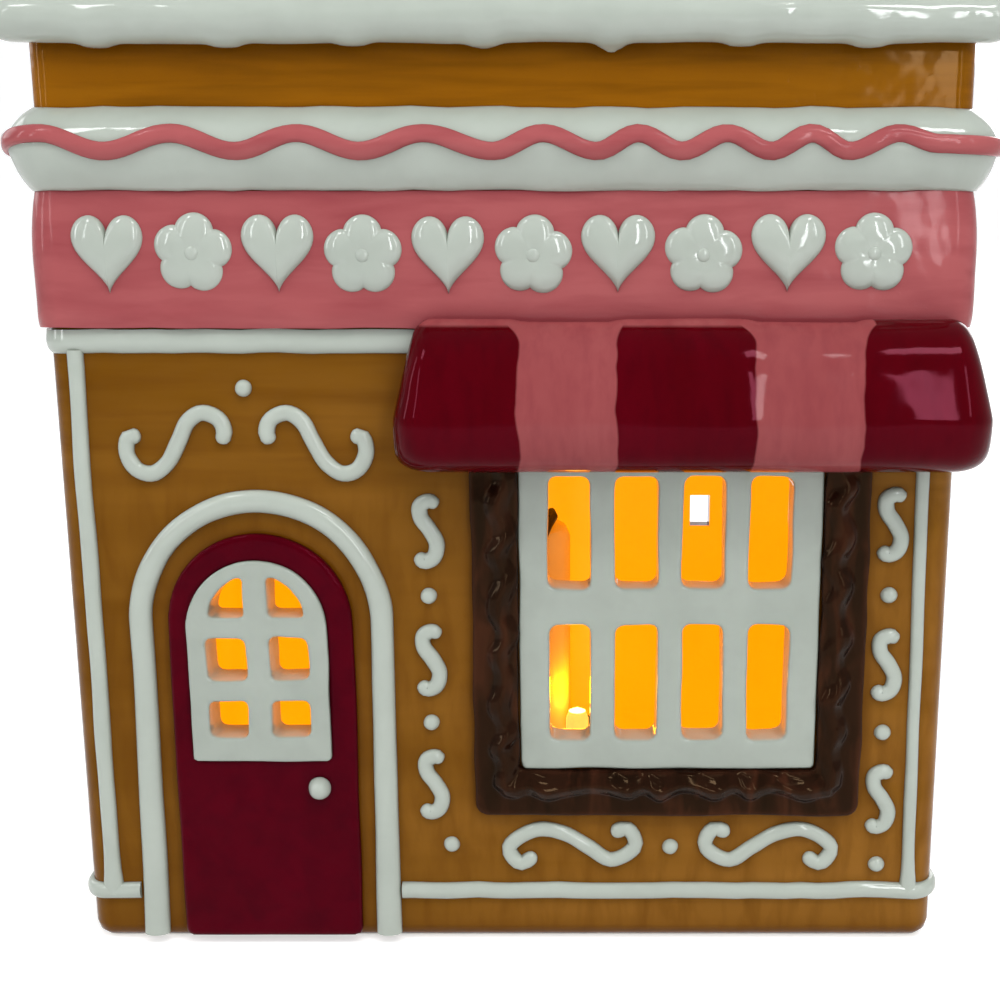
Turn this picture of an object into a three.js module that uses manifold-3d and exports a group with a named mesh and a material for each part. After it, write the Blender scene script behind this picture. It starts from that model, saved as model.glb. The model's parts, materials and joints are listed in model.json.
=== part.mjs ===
// Light-up ceramic gingerbread shop: a hollow shell of four walls with icing reliefs laid on it, a
// gable roof, and a battery light unit that stands in a round hole in the floor.
// Millimetres, +Z up, the front looks along -Y, the origin is under the middle on the ground.
import * as THREE from "three";
import { mergeVertices } from "three/addons/utils/BufferGeometryUtils.js";
import Module from "manifold-3d";

const wasm = await Module();
wasm.setup();

// Walls
const WALL_DEPTH = 104;
const WALL = 5;
const FLOOR = 5;
const CORNER_R = 4;
const CORNER_STEPS = 6;
const BASE_ROUND = 3.5;
const CAVITY_CORNER_R = 3;
const CAVITY_FILLET = 5;
const SEAT = 0.3; // clearance between a piece and what it is cut to fit
const LAP = 0.5; // how far bodies that are joined reach into each other
const PAST = 1; // how far a cutting tool runs past the face that it opens

// The front from left to right: margin, door arch, scrolls, window, scrolls, margin
const EDGE_TO_ARCH = 10.4;
const DOOR_WIDTH = 32.6;
const ARCH_GAP = 3.4;
const ARCH_BAND = 4.9;
const ARCH_TO_SCROLL = 3.7;
const SCROLL_WIDTH = 5.5;
const SCROLL_TO_WINDOW = 5.2;
const LATTICE_WIDTH = 54.4;
const SURROUND_SIDE = 8.5;
const WINDOW_TO_SCROLL = 1.4;
const SCROLL_TO_EDGE = 8.5;

// The front from the ground up, at the window
const BASE_LINE_Z = 9;
const LINE_WIDTH = 3.2;
const LINE_PROUD = 1.2;
const CORNER_LINE = 2.7; // width of the line up each corner
const CORNER_LINE_LEFT = 5.1; // from the wall's side in to that line's middle, at the door's side
const CORNER_LINE_RIGHT = 5.8; // and at the window's side
const LINE_TO_LONG_SCROLL = 2.4;
const LONG_SCROLL_HEIGHT = 9.7;
const LONG_SCROLL_TO_WINDOW = 2.1;
const SURROUND_SILL = 9.1;
const SURROUND_HEAD = 7;
const BOTTOM_RAIL = 5.6;
const LOWER_PANE = 22.1;
const MIDDLE_RAIL = 6.8;
const UPPER_PANE = 20.5;
const TOP_RAIL = 2.5;
const PANE_WIDTH = 7.5;
const PANES = 4;
const MULLION = 4.6;
const LATTICE_FLANGE = 3;
const LATTICE_TOP_FLANGE = 0.6;
const PANE_CORNER = 1.2;
const LATTICE_PROUD = 1.5;
const SURROUND_PROUD = 2;
const SURROUND_CORNER = 1.5;
const RIDGE_WIDTH = 3.6;
const RIDGE_PROUD = 3.5;
const RIDGE_WAVE = 0.7;
const RIDGE_PITCH = 10.5;
const RIDGE_MARGIN = 0.2; // from the wave to the inner edge

// Awning
const AWNING_OUT = 14;
const AWNING_HEIGHT = 25.3;
const AWNING_UNDERSIDE = 9.3; // how far the underside climbs from the front lip to the wall
const AWNING_LEFT = 12.2; // how far it passes the window surround
const AWNING_RIGHT = 17.9;
const AWNING_END = 7;
const AWNING_SWELL = 1.6; // how far the puffed top rises over its edge at the wall
const AWNING_END_HEIGHT = 0.35; // share of its height and reach that is left at its ends
const AWNING_END_REACH = 0.62;
const AWNING_TAPER = 2.8; // how far each end is drawn in at the top
const AWNING_WAIST = 0.35; // share of its height above which the ends are drawn in
const BEAD_SHARE = 0.6; // share of that taper at the bead's height
const AWNING_ABOVE_WINDOW = 2;

// Door
const DOOR_BOTTOM = 2;
const DOOR_SPRING = 63.8; // height at which the arch springs
const DOOR_PROUD = 1.8;
const ARCH_PROUD = 1.8;
const DOOR_FRAME_WIDTH = 25.4;
const DOOR_FRAME_BOTTOM = 37.4;
const DOOR_FRAME_PROUD = 2.6;
const DOOR_FRAME_RIM = 2.2;
const DOOR_FRAME_DROP = 1.2; // how far the light's arch springs below the door's
const DOOR_PANE_WIDTH = 7;
const DOOR_MULLION = 4.3;
const DOOR_PANE_ROWS = [
  { bottom: 4.6, height: 7.1 },
  { bottom: 15.6, height: 8.1 },
];
const DOOR_LIGHT_BOTTOM = 27.4; // foot of the two arched panes above the frame's bottom
const DOOR_LIGHT_HEIGHT = 7.4;
const DOOR_LIGHT_SHOULDER = 5;
const DOOR_LIGHT_LEAN = 1.4;
const DOOR_PANE_CORNER = 0.8;
const KNOB_R = 2.2;
const KNOB_PROUD = 2.6;
const KNOB_INSET = 6;
const KNOB_Z = 32.1;

// Icing strokes
const STROKE = 2.7;
const DOT_R = 1.5;
const DOT_PROUD = 1.3;
const DOOR_SCROLL_HEIGHT = 14.3;
const DOOR_SCROLL_GAP = 3.3;
const DOOR_SCROLL_ASIDE = 0.7; // how far the pair over the door sits left of its middle
const LONG_SCROLL_FROM_MIDDLE = 18.6;
const LONG_SCROLL_ASIDE = 0.8; // how far the pair under the window sits right of its middle
const LAST_DOT_ASIDE = 3.3;
const ARCH_TO_DOOR_SCROLL = 0.4;
const DOOR_DOT_ABOVE = 1.5;
const DOOR_DOT_TO_BEAD = 4.6;
const S_HEIGHT = 13.7;
const S_PITCH_LEFT = 24.2;
const S_PITCH_RIGHT = 26.3;
const S_TOP_BELOW_AWNING = 13.5;
const S_LEFT_DROP = 1.2; // how far the column by the door hangs lower

// Bands over the ground floor
const BEAD_HEIGHT = 4.2;
const BEAD_PROUD = 1;
const LINE_EDGE = 0.8; // width of the rounding along the bead and the base line
const SIGN_GAP = 0.3;
const SIGN_HEIGHT = 23.2;
const SIGN_PROUD = 2.2;
const SIGN_EDGE = 3;
const SIGN_EDGE_LOW = 0.6; // share of its thickness at its lower and upper edge
const SIGN_EDGE_HIGH = 0.9;
const CORNICE_HEIGHT = 13.7;
const CORNICE_PROUD = 4.8;
const SQUIGGLE_WIDTH = 3;
const SQUIGGLE_PROUD = 0.9;
const SQUIGGLE_WAVE = 1.4;
const SQUIGGLE_PITCH = 20;
const SQUIGGLE_AT = 0.56; // its middle, as a share of the cornice's height
const SQUIGGLE_OFF = 0.4;
const SQUIGGLE_TOP = 0.6; // width of its flat top as a share of its width
const UPPER_WALL = 12.4;

// Roof
const ROOF_PITCH_DEG = 38;
const ROOF_EAVE = 5.5;
const ROOF_EAVE_THICK = 2.5;
const ROOF_RAKE = 1.5;
const ROOF_THICK = 5;
const RIDGE_CAP = 4; // half the width over which the ridge is blunted
const RIDGE_CAP_RISE = 0.5;
const EAVE_ROLL_R = 4.2;
const RAKE_ROLL_R = 2.5;
const RIDGE_ROLL_R = 3.4;
const EAVE_ROLL_INSET = 1.7; // from the roof's edge in to the middle of the roll
const EAVE_ROLL_RISE = 1.2;
const RAKE_ROLL_SINK = 1;
const RIDGE_ROLL_SINK = 1.6;
const ICING_GAP = 0.15;
const EAVE_DRIP_PITCH = 21.2;
const EAVE_DRIP_R = 3.2;
const EAVE_DRIP_FLAT = 0.75; // its thickness as a share of its width
const EAVE_DRIP_HANG = 0.45;
const EAVE_DRIP_LIFT = 0.4;
const EAVE_DRIP_DROPS = [1.5, 0.8, 1.4, 2.4, 3.6, 1, 1.6];
const EAVE_DRIP_MIDDLE = -2.8;

// Rear slot
const SLOT_X = 44;
const SLOT_Z = 64;
const SLOT_WIDTH = 5;
const SLOT_HEIGHT = 8;

// Light unit, from the outside in
const LIGHT_X = -2;
const HOLE_R = 21.3;
const HOLE_BOSS = 5;
const RECESS_WALL = 5;
const FLANGE_R = 25;
const PLATE_BOTTOM = 1.2;
const PLATE_THICK = 2.6;
const DRUM_R = 20.5;
const DRUM_TOP = 21;
const SHELL_THICK = 1.6;
const TUBE_WALL = 1.2;
const TUBE_TOP = 71;
const TUBE_ROUND = 3;
const TUBE_CROWN = 4.5; // height of the domed end that closes the tube
const SCREW_BOSS_R = 2.4;
const EDGE = 0.6; // rounding of the moulded edges
const BOARD_THICK = 1.2;
const BOARD_RING_R = 20;
const LED_R = 2.5;
const LED_HEIGHT = 8.6;
const LED_FLANGE = 0.4;
const LED_RIM = 1;
const LED_RING = 16.4;
const LED_COUNT = 3;
const LED_FIRST_DEG = -28;
const SCREW_COUNT = 3;
const SCREW_FIRST_DEG = 90;
const SCREW_RING = 16.7;
const SCREW_R = 0.9;
const SCREW_HEAD_R = 2.1;
const SCREW_HEAD = 1.2;
const SCREW_LENGTH = 10;
const SCREW_POINT = 0.9;
const SCREW_BITE = 0.25; // room round a screw in its boss and in the plate
const CELL_R = 5.15;
const CELL_LENGTH = 44.5;
const CELL_GAP = 0.25;
const CELL_PLAY = 0.1;
const CELL_EDGE = 0.5;
const CELL_NUB_R = 1.9;
const CELL_NUB = 1;
const BORE_CLEAR = 0.35;
const DISC_THICK = 1.6;
const CONTACT_THICK = 0.5;
const CONTACT_RISE = 1;
const CONTACT_REST = 0.1; // gap between a contact's tongue and a cell
const CONTACT_INSET = 2.6;
const TONGUE_R = 2;
const TONGUE_DROP = 0.7;
const TONGUE_SPACE = 0.9;
const RIB_DEPTH = 1.9;
const RIB_WIDTH = 2.6;
const CAP_CLEAR = 0.3;
const CAP_LIP = 1.4;
const CAP_NECK = 2.2;
const CAP_NECK_GAP = 0.9; // between the cap's neck and the bore
const CAP_GROOVE = 0.6;
const COIN_SLOT = { length: 14, width: 2.2, depth: 1.2 };
const RING_FIT = 0.08; // between the gasket and what it grips
const SWITCH_LENGTH = 9;
const SWITCH_WIDTH = 4;
const SWITCH_HEIGHT = 5;
const SWITCH_TRAVEL = 3;
const SWITCH_WINDOW = 2.8;
const SWITCH_ROOM = 0.5; // room past the knob at each end of its travel
const KNOB_SLIDE = 2.4;
const KNOB_WIDTH = 1.8;
const SWITCH_BITE = 0.2; // room beside the knob in the switch
const KNOB_ROOM = 2; // depth of the slot in the switch that the knob slides in
const KNOB_DEPTH = 1.6;
const KNOB_GROOVE = { at: 0.6, width: 0.4, depth: 0.35 };
const KNOB_REACH = 0.6; // height of the switch knob's tip over the ground
const GROMMET_R = 1.7;
const GROMMET_HEIGHT = 2;
const GROMMET_NECK = 0.6; // its neck's radius as a share of its head's
const GROMMET_BRIM = 1.2;
const GROMMET_RING = 7.9;
const GROMMET_DEG = -10;
const LEAD_R = 0.8;
const LEAD_DEG = -60;
const LEAD_OFF = 0.45; // gap between the lead and the tube
const LEAD_CREST = 0.6; // how far it rises over the grommet
const LEAD_BEND = 2.4;
const CONTROL_GAP = 3.5; // room over the carrier for the control board's pins
const PIN_R = 1;
const PIN_X = 4;
const CHIP = { x0: -3, x1: 1, y0: -6, y1: -3, height: 1.4 };
const ROUND_STEPS = 24; // sides of the drum, the hole and what fits between them

// Sizes that follow
const ARCH_INNER = DOOR_WIDTH / 2 + ARCH_GAP;
const ARCH_OUTER = ARCH_INNER + ARCH_BAND;
const SURROUND_WIDTH = LATTICE_WIDTH + 2 * SURROUND_SIDE;
const WALL_WIDTH =
  EDGE_TO_ARCH + 2 * ARCH_OUTER + ARCH_TO_SCROLL + SCROLL_WIDTH + SCROLL_TO_WINDOW +
  SURROUND_WIDTH + WINDOW_TO_SCROLL + SCROLL_WIDTH + SCROLL_TO_EDGE;
const HALF_W = WALL_WIDTH / 2;
const DOOR_X = -HALF_W + EDGE_TO_ARCH + ARCH_OUTER;
const LEFT_S_X = DOOR_X + ARCH_OUTER + ARCH_TO_SCROLL + SCROLL_WIDTH / 2;
const WINDOW_X = LEFT_S_X + SCROLL_WIDTH / 2 + SCROLL_TO_WINDOW + SURROUND_WIDTH / 2;
const RIGHT_S_X = WINDOW_X + SURROUND_WIDTH / 2 + WINDOW_TO_SCROLL + SCROLL_WIDTH / 2;

const LONG_SCROLL_Z = BASE_LINE_Z + LINE_WIDTH + LINE_TO_LONG_SCROLL + LONG_SCROLL_HEIGHT / 2;
const SURROUND_BOTTOM = LONG_SCROLL_Z + LONG_SCROLL_HEIGHT / 2 + LONG_SCROLL_TO_WINDOW;
const LATTICE_BOTTOM = SURROUND_BOTTOM + SURROUND_SILL;
const LOWER_PANE_Z = LATTICE_BOTTOM + BOTTOM_RAIL;
const UPPER_PANE_Z = LOWER_PANE_Z + LOWER_PANE + MIDDLE_RAIL;
const LATTICE_TOP = UPPER_PANE_Z + UPPER_PANE + TOP_RAIL;
const SURROUND_TOP = LATTICE_TOP + SURROUND_HEAD;
const DOOR_SCROLL_Z = DOOR_SPRING + ARCH_OUTER + ARCH_TO_DOOR_SCROLL + DOOR_SCROLL_HEIGHT / 2;
const DOOR_DOT_Z = DOOR_SCROLL_Z + DOOR_SCROLL_HEIGHT / 2 + DOOR_DOT_ABOVE + DOT_R;
const AWNING_BACK = AWNING_HEIGHT - AWNING_UNDERSIDE - AWNING_SWELL;
const SIGN_BOTTOM = Math.max(
  SURROUND_TOP + AWNING_ABOVE_WINDOW + AWNING_BACK + SIGN_GAP,
  DOOR_DOT_Z + DOT_R + DOOR_DOT_TO_BEAD + BEAD_HEIGHT + SIGN_GAP,
);
const SIGN_TOP = SIGN_BOTTOM + SIGN_HEIGHT;
const CORNICE_TOP = SIGN_TOP + CORNICE_HEIGHT;
const WALL_TOP = CORNICE_TOP + UPPER_WALL;
const BEAD_TOP = SIGN_BOTTOM - SIGN_GAP;
const BEAD_BOTTOM = BEAD_TOP - BEAD_HEIGHT;
const AWNING_WALL_BOTTOM = SIGN_BOTTOM - SIGN_GAP - AWNING_BACK;
const AWNING_X0 = WINDOW_X - SURROUND_WIDTH / 2 - AWNING_LEFT;
const AWNING_X1 = WINDOW_X + SURROUND_WIDTH / 2 + AWNING_RIGHT;
const BACK_REACH = ROOF_EAVE + EAVE_ROLL_R - EAVE_ROLL_INSET;
const FRONT_Y = -(WALL_DEPTH + AWNING_OUT + BACK_REACH) / 2 + AWNING_OUT;
const MIDDLE_Y = FRONT_Y + WALL_DEPTH / 2;

const PLATE_TOP = PLATE_BOTTOM + PLATE_THICK;
const RECESS_TOP = FLOOR;
const CELL_RING = (2 * CELL_R + CELL_GAP) / Math.sqrt(3);
const BUNDLE_R = CELL_RING + CELL_R + CELL_PLAY;
const BORE_R = BUNDLE_R + BORE_CLEAR;
const TUBE_R = BORE_R + TUBE_WALL;
const CAP_R = BORE_R + CAP_LIP;
const SWITCH_RING = (TUBE_R + DRUM_R - SHELL_THICK) / 2;

// Colours
const glaze = (color, roughness = 0.12) =>
  new THREE.MeshStandardMaterial({ color, roughness, metalness: 0 });
const GINGERBREAD = glaze(0x8a5414);
const ICING = glaze(0xc8d2ca);
const PINK = glaze(0xb45a63);
const DARK_RED = glaze(0x5c0518);
const CHOCOLATE = glaze(0x3c1e16);
const WHITE_PLASTIC = glaze(0xe4e2da, 0.4);
const GREY_PLASTIC = glaze(0x9a9c9a, 0.45);
const BLACK_RUBBER = glaze(0x1b1b1c, 0.7);
const SILICONE = glaze(0xd6d4cc, 0.6);
const GREEN_BOARD = glaze(0x1f5a34, 0.4);
const LED_LENS = glaze(0xffc866, 0.1);
const CELL_WRAP = glaze(0x2c2f33, 0.3);
const STEEL = new THREE.MeshStandardMaterial({ color: 0xb8b8ba, roughness: 0.3, metalness: 1 });

// Helpers that join and cut
function toSolid(geometry) {
  const bare = new THREE.BufferGeometry();
  bare.setAttribute("position", geometry.getAttribute("position"));
  if (geometry.index) bare.setIndex(geometry.index);
  const merged = mergeVertices(bare, 1e-4);
  return new wasm.Manifold(
    new wasm.Mesh({
      numProp: 3,
      vertProperties: new Float32Array(merged.getAttribute("position").array),
      triVerts: new Uint32Array(merged.index.array),
    }),
  );
}

function toGeometry(solid) {
  const mesh = solid.getMesh();
  const geometry = new THREE.BufferGeometry();
  geometry.setAttribute("position", new THREE.BufferAttribute(mesh.vertProperties, 3));
  geometry.setIndex(new THREE.BufferAttribute(mesh.triVerts, 1));
  return geometry;
}

const union = (parts) => toGeometry(parts.map(toSolid).reduce((a, b) => a.add(b)));
const cut = (body, tools) =>
  toGeometry(tools.map(toSolid).reduce((a, b) => a.subtract(b), toSolid(body)));

// A closed skin over a stack of rings with the same number of points
function skin(rings, closed = false) {
  const count = rings[0].length;
  const points = rings.flat();
  const index = [];
  const last = closed ? rings.length : rings.length - 1;
  for (let i = 0; i < last; i++) {
    const next = (i + 1) % rings.length;
    for (let j = 0; j < count; j++) {
      const k = (j + 1) % count;
      const [a, b, c, d] = [i * count + j, i * count + k, next * count + k, next * count + j];
      index.push(a, b, c, a, c, d);
    }
  }
  if (!closed) {
    const flat = (ring) => {
      const origin = ring[0];
      const u = ring[1].clone().sub(origin).normalize();
      const n = new THREE.Vector3();
      ring.forEach((p, j) => n.add(p.clone().cross(ring[(j + 1) % count])));
      n.normalize();
      const v = n.clone().cross(u);
      const outline = ring.map((p) => {
        const q = p.clone().sub(origin);
        return new THREE.Vector2(q.dot(u), q.dot(v));
      });
      return THREE.ShapeUtils.triangulateShape(outline, []);
    };
    for (const [a, b, c] of flat(rings[0])) index.push(c, b, a);
    const base = (rings.length - 1) * count;
    for (const [a, b, c] of flat(rings[rings.length - 1])) index.push(base + a, base + b, base + c);
  }
  const geometry = new THREE.BufferGeometry();
  geometry.setAttribute(
    "position",
    new THREE.BufferAttribute(new Float32Array(points.flatMap((p) => [p.x, p.y, p.z])), 3),
  );
  geometry.setIndex(index);
  return outward(geometry);
}

// Turns a closed skin's faces outward where the ring order left them inward
function outward(geometry) {
  const p = geometry.getAttribute("position");
  const index = [...geometry.index.array];
  const [a, b, c] = [new THREE.Vector3(), new THREE.Vector3(), new THREE.Vector3()];
  let volume = 0;
  for (let i = 0; i < index.length; i += 3) {
    a.fromBufferAttribute(p, index[i]);
    b.fromBufferAttribute(p, index[i + 1]);
    c.fromBufferAttribute(p, index[i + 2]);
    volume += a.dot(b.cross(c));
  }
  if (volume < 0) {
    for (let i = 0; i < index.length; i += 3) {
      [index[i + 1], index[i + 2]] = [index[i + 2], index[i + 1]];
    }
    geometry.setIndex(index);
  }
  return geometry;
}

// The wall's outline seen from above, anticlockwise, with the outward direction at each point
function wallPath(cornerR = CORNER_R, halfW = HALF_W, halfD = WALL_DEPTH / 2) {
  const points = [];
  const centres = [
    [halfW - cornerR, -halfD + cornerR, -90],
    [halfW - cornerR, halfD - cornerR, 0],
    [-halfW + cornerR, halfD - cornerR, 90],
    [-halfW + cornerR, -halfD + cornerR, 180],
  ];
  for (const [cx, cy, start] of centres) {
    for (let k = 0; k <= CORNER_STEPS; k++) {
      const a = THREE.MathUtils.degToRad(start + (90 * k) / CORNER_STEPS);
      const out = new THREE.Vector2(Math.cos(a), Math.sin(a));
      points.push({ x: cx + cornerR * out.x, y: cy + cornerR * out.y + MIDDLE_Y, out });
    }
  }
  return points;
}

// Profile points of [outward, height] at each stop of a path round the walls
const along = (path, profile) =>
  path.map((p) => profile.map(([o, z]) => new THREE.Vector3(p.x + p.out.x * o, p.y + p.out.y * o, z)));
const FRONT_OUT = new THREE.Vector2(0, -1);
const frontPoint = (x) => ({ x, y: FRONT_Y, out: FRONT_OUT });

function wallRing(profile) {
  return skin(along(wallPath(), profile), true);
}

// Prism rings of the walls' outline, each drawn in by an inset at its own height
function prism(levels, cornerR, shrinkCorner) {
  return skin(
    levels.map(([inset, z]) =>
      wallPath(
        shrinkCorner ? cornerR - inset : cornerR,
        HALF_W - inset,
        WALL_DEPTH / 2 - inset,
      ).map((p) => new THREE.Vector3(p.x, p.y, z)),
    ),
  );
}

function filletLevels(radius, inset, z, steps) {
  const levels = [];
  for (let k = 0; k <= steps; k++) {
    const a = (Math.PI / 2) * (k / steps);
    levels.push([inset + radius * (1 - Math.sin(a)), z + radius * (1 - Math.cos(a))]);
  }
  return levels;
}

const box = (x0, x1, y0, y1, z0, z1) =>
  new THREE.BoxGeometry(x1 - x0, y1 - y0, z1 - z0).translate((x0 + x1) / 2, (y0 + y1) / 2, (z0 + z1) / 2);

const rod = (r, z0, z1, segments = 24, x = 0, y = 0) =>
  new THREE.CylinderGeometry(r, r, z1 - z0, segments).rotateX(Math.PI / 2).translate(x, y, (z0 + z1) / 2);

// A revolved body about Z; the profile runs up the outside as [radius, z] and closes on itself
function turned(profile, segments = 24) {
  const rings = [];
  for (let i = 0; i < segments; i++) {
    const a = (2 * Math.PI * i) / segments;
    rings.push(profile.map(([r, z]) => new THREE.Vector3(r * Math.cos(a), r * Math.sin(a), z)));
  }
  return skin(rings, true);
}

// A revolved body whose profile starts and ends on the axis
function lathe(profile, segments = 24) {
  const points = profile.map(([r, z]) => new THREE.Vector2(r, z));
  return new THREE.LatheGeometry(points, segments).rotateX(Math.PI / 2).scale(1, -1, 1);
}

const latheSolid = (profile, segments) => {
  const bare = new THREE.BufferGeometry();
  const made = lathe(profile, segments);
  bare.setAttribute("position", made.getAttribute("position"));
  bare.setIndex(made.index);
  return outward(toIndexed(bare));
};

// Merges the seam and the poles, and drops the faces that close up there
function toIndexed(geometry) {
  const merged = mergeVertices(geometry, 1e-4);
  const index = [];
  const old = merged.index.array;
  for (let i = 0; i < old.length; i += 3) {
    const [a, b, c] = [old[i], old[i + 1], old[i + 2]];
    if (a !== b && b !== c && a !== c) index.push(a, b, c);
  }
  merged.setIndex(index);
  return merged;
}

// Front pieces are drawn flat, x right and y up, and stand out of the wall along +z
const front = new THREE.Group();
front.position.set(0, FRONT_Y, 0);
front.rotation.x = Math.PI / 2;

function plate(shape, back, depth, curveSegments = 8) {
  const made = new THREE.ExtrudeGeometry(shape, { depth, bevelEnabled: false, curveSegments });
  return made.translate(0, 0, back);
}

function rectShape(x0, x1, y0, y1, Kind = THREE.Shape) {
  const shape = new Kind();
  shape.moveTo(x0, y0).lineTo(x1, y0).lineTo(x1, y1).lineTo(x0, y1).closePath();
  return shape;
}

function roundedRect(x0, x1, y0, y1, r, Kind = THREE.Shape) {
  const shape = new Kind();
  shape.moveTo(x0 + r, y0).lineTo(x1 - r, y0).absarc(x1 - r, y0 + r, r, -Math.PI / 2, 0);
  shape.lineTo(x1, y1 - r).absarc(x1 - r, y1 - r, r, 0, Math.PI / 2);
  shape.lineTo(x0 + r, y1).absarc(x0 + r, y1 - r, r, Math.PI / 2, Math.PI);
  shape.lineTo(x0, y0 + r).absarc(x0 + r, y0 + r, r, Math.PI, 1.5 * Math.PI);
  return shape;
}

// An upright opening with a round head
function archShape(x, halfWidth, bottom, spring, Kind = THREE.Shape) {
  const shape = new Kind();
  shape.moveTo(x - halfWidth, bottom).lineTo(x + halfWidth, bottom).lineTo(x + halfWidth, spring);
  shape.absarc(x, spring, halfWidth, 0, Math.PI);
  shape.closePath();
  return shape;
}

// A round-backed stroke of icing laid along a curve on the wall, with round ends
function stroke(points, samples = 10) {
  const curve = new THREE.CatmullRomCurve3(
    points.map(([x, y]) => new THREE.Vector3(x, y, 0)),
    false,
    "centripetal",
  );
  const length = curve.getLength();
  const half = STROKE / 2;
  const rings = [];
  const stations = [0.1, 0.45, 0.8];
  const at = stations.map((s) => s * half);
  for (let i = 0; i <= samples; i++) at.push(half + ((length - 2 * half) * i) / samples);
  for (const s of [...stations].reverse()) at.push(length - s * half);
  for (const s of at) {
    const t = s / length;
    const p = curve.getPointAt(t);
    const d = curve.getTangentAt(t);
    const end = Math.min(s, length - s, half) / half;
    const f = Math.sqrt(1 - (1 - end) ** 2);
    const side = new THREE.Vector3(-d.y, d.x, 0).multiplyScalar(half * f);
    const ring = [-1, -0.72, 0, 0.72, 1].map((k) => {
      const lift = LINE_PROUD * Math.sqrt(1 - k * k) * (0.3 + 0.7 * f);
      return p.clone().addScaledVector(side, k).setZ(lift);
    });
    rings.push(ring);
  }
  return skin(rings);
}

function dotGeometry(x, y) {
  const dome = [[0.8, 0.6], [0.4, 0.93]].map(([r, z]) => [DOT_R * r, DOT_PROUD * z]);
  const profile = [[0, 0], [DOT_R, 0], ...dome, [0, DOT_PROUD]];
  return latheSolid(profile, 10).translate(x, y, 0);
}

const shop = new THREE.Group();

function add(parent, name, geometry, material) {
  const mesh = new THREE.Mesh(geometry, material);
  mesh.name = name;
  parent.add(mesh);
  return mesh;
}

// Window and door outlines that the shell, the frames and their panes share
const LATTICE_X0 = WINDOW_X - LATTICE_WIDTH / 2;
const LATTICE_X1 = WINDOW_X + LATTICE_WIDTH / 2;
const INSERT_X0 = LATTICE_X0 + LATTICE_FLANGE;
const INSERT_X1 = LATTICE_X1 - LATTICE_FLANGE;
const INSERT_Z0 = LATTICE_BOTTOM + LATTICE_FLANGE;
const INSERT_Z1 = LATTICE_TOP - LATTICE_TOP_FLANGE;
const DOOR_FRAME_R = DOOR_FRAME_WIDTH / 2;
const DOOR_FRAME_SPRING = DOOR_SPRING - DOOR_FRAME_DROP;
const DOOR_INSERT_R = DOOR_FRAME_R - DOOR_FRAME_RIM * 0.8;

function shellGeometry() {
  const outer = prism([...filletLevels(BASE_ROUND, 0, 0, 3), [0, WALL_TOP]], CORNER_R, true);
  const cavity = prism(
    [...filletLevels(CAVITY_FILLET, WALL, FLOOR, 3), [WALL, WALL_TOP + PAST]],
    CAVITY_CORNER_R,
    false,
  );
  const place = (g) => g.translate(LIGHT_X, MIDDLE_Y, 0);
  const bossR = FLANGE_R + SEAT + RECESS_WALL;
  const boss = place(rod(bossR, FLOOR - LAP, FLOOR + HOLE_BOSS, ROUND_STEPS));
  const walls = union([cut(outer, [cavity]), boss]);
  const recess = place(rod(FLANGE_R + SEAT, -PAST, RECESS_TOP, ROUND_STEPS));
  const hole = place(rod(HOLE_R, -PAST, FLOOR + HOLE_BOSS + PAST, ROUND_STEPS));
  const intoWall = (shape) =>
    plate(shape, -WALL - PAST, WALL + 2 * PAST).rotateX(Math.PI / 2).translate(0, FRONT_Y, 0);
  const window = intoWall(
    rectShape(INSERT_X0 - SEAT, INSERT_X1 + SEAT, INSERT_Z0 - SEAT, INSERT_Z1 + SEAT),
  );
  const door = intoWall(
    archShape(DOOR_X, DOOR_INSERT_R + SEAT, DOOR_FRAME_BOTTOM + DOOR_FRAME_RIM - SEAT, DOOR_FRAME_SPRING),
  );
  const backY = FRONT_Y + WALL_DEPTH;
  const slot = box(
    SLOT_X - SLOT_WIDTH / 2, SLOT_X + SLOT_WIDTH / 2,
    backY - WALL - PAST, backY + PAST,
    SLOT_Z - SLOT_HEIGHT / 2, SLOT_Z + SLOT_HEIGHT / 2,
  );
  return cut(walls, [recess, hole, window, door, slot]);
}

// Window of white bars: a flange on the wall's face and bars through its thickness
function latticeGeometry() {
  const flange = plate(rectShape(LATTICE_X0, LATTICE_X1, LATTICE_BOTTOM, LATTICE_TOP), 0, LATTICE_PROUD);
  const insert = plate(rectShape(INSERT_X0, INSERT_X1, INSERT_Z0, INSERT_Z1), -WALL, WALL + LAP);
  const span = PANES * PANE_WIDTH + (PANES - 1) * MULLION;
  const tools = [];
  for (let i = 0; i < PANES; i++) {
    const x0 = WINDOW_X - span / 2 + i * (PANE_WIDTH + MULLION);
    for (const [z, height] of [[LOWER_PANE_Z, LOWER_PANE], [UPPER_PANE_Z, UPPER_PANE]]) {
      const pane = roundedRect(x0, x0 + PANE_WIDTH, z, z + height, PANE_CORNER);
      tools.push(plate(pane, -WALL - PAST, WALL + LATTICE_PROUD + 2 * PAST, 2));
    }
  }
  return cut(union([flange, insert]), tools);
}

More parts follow.
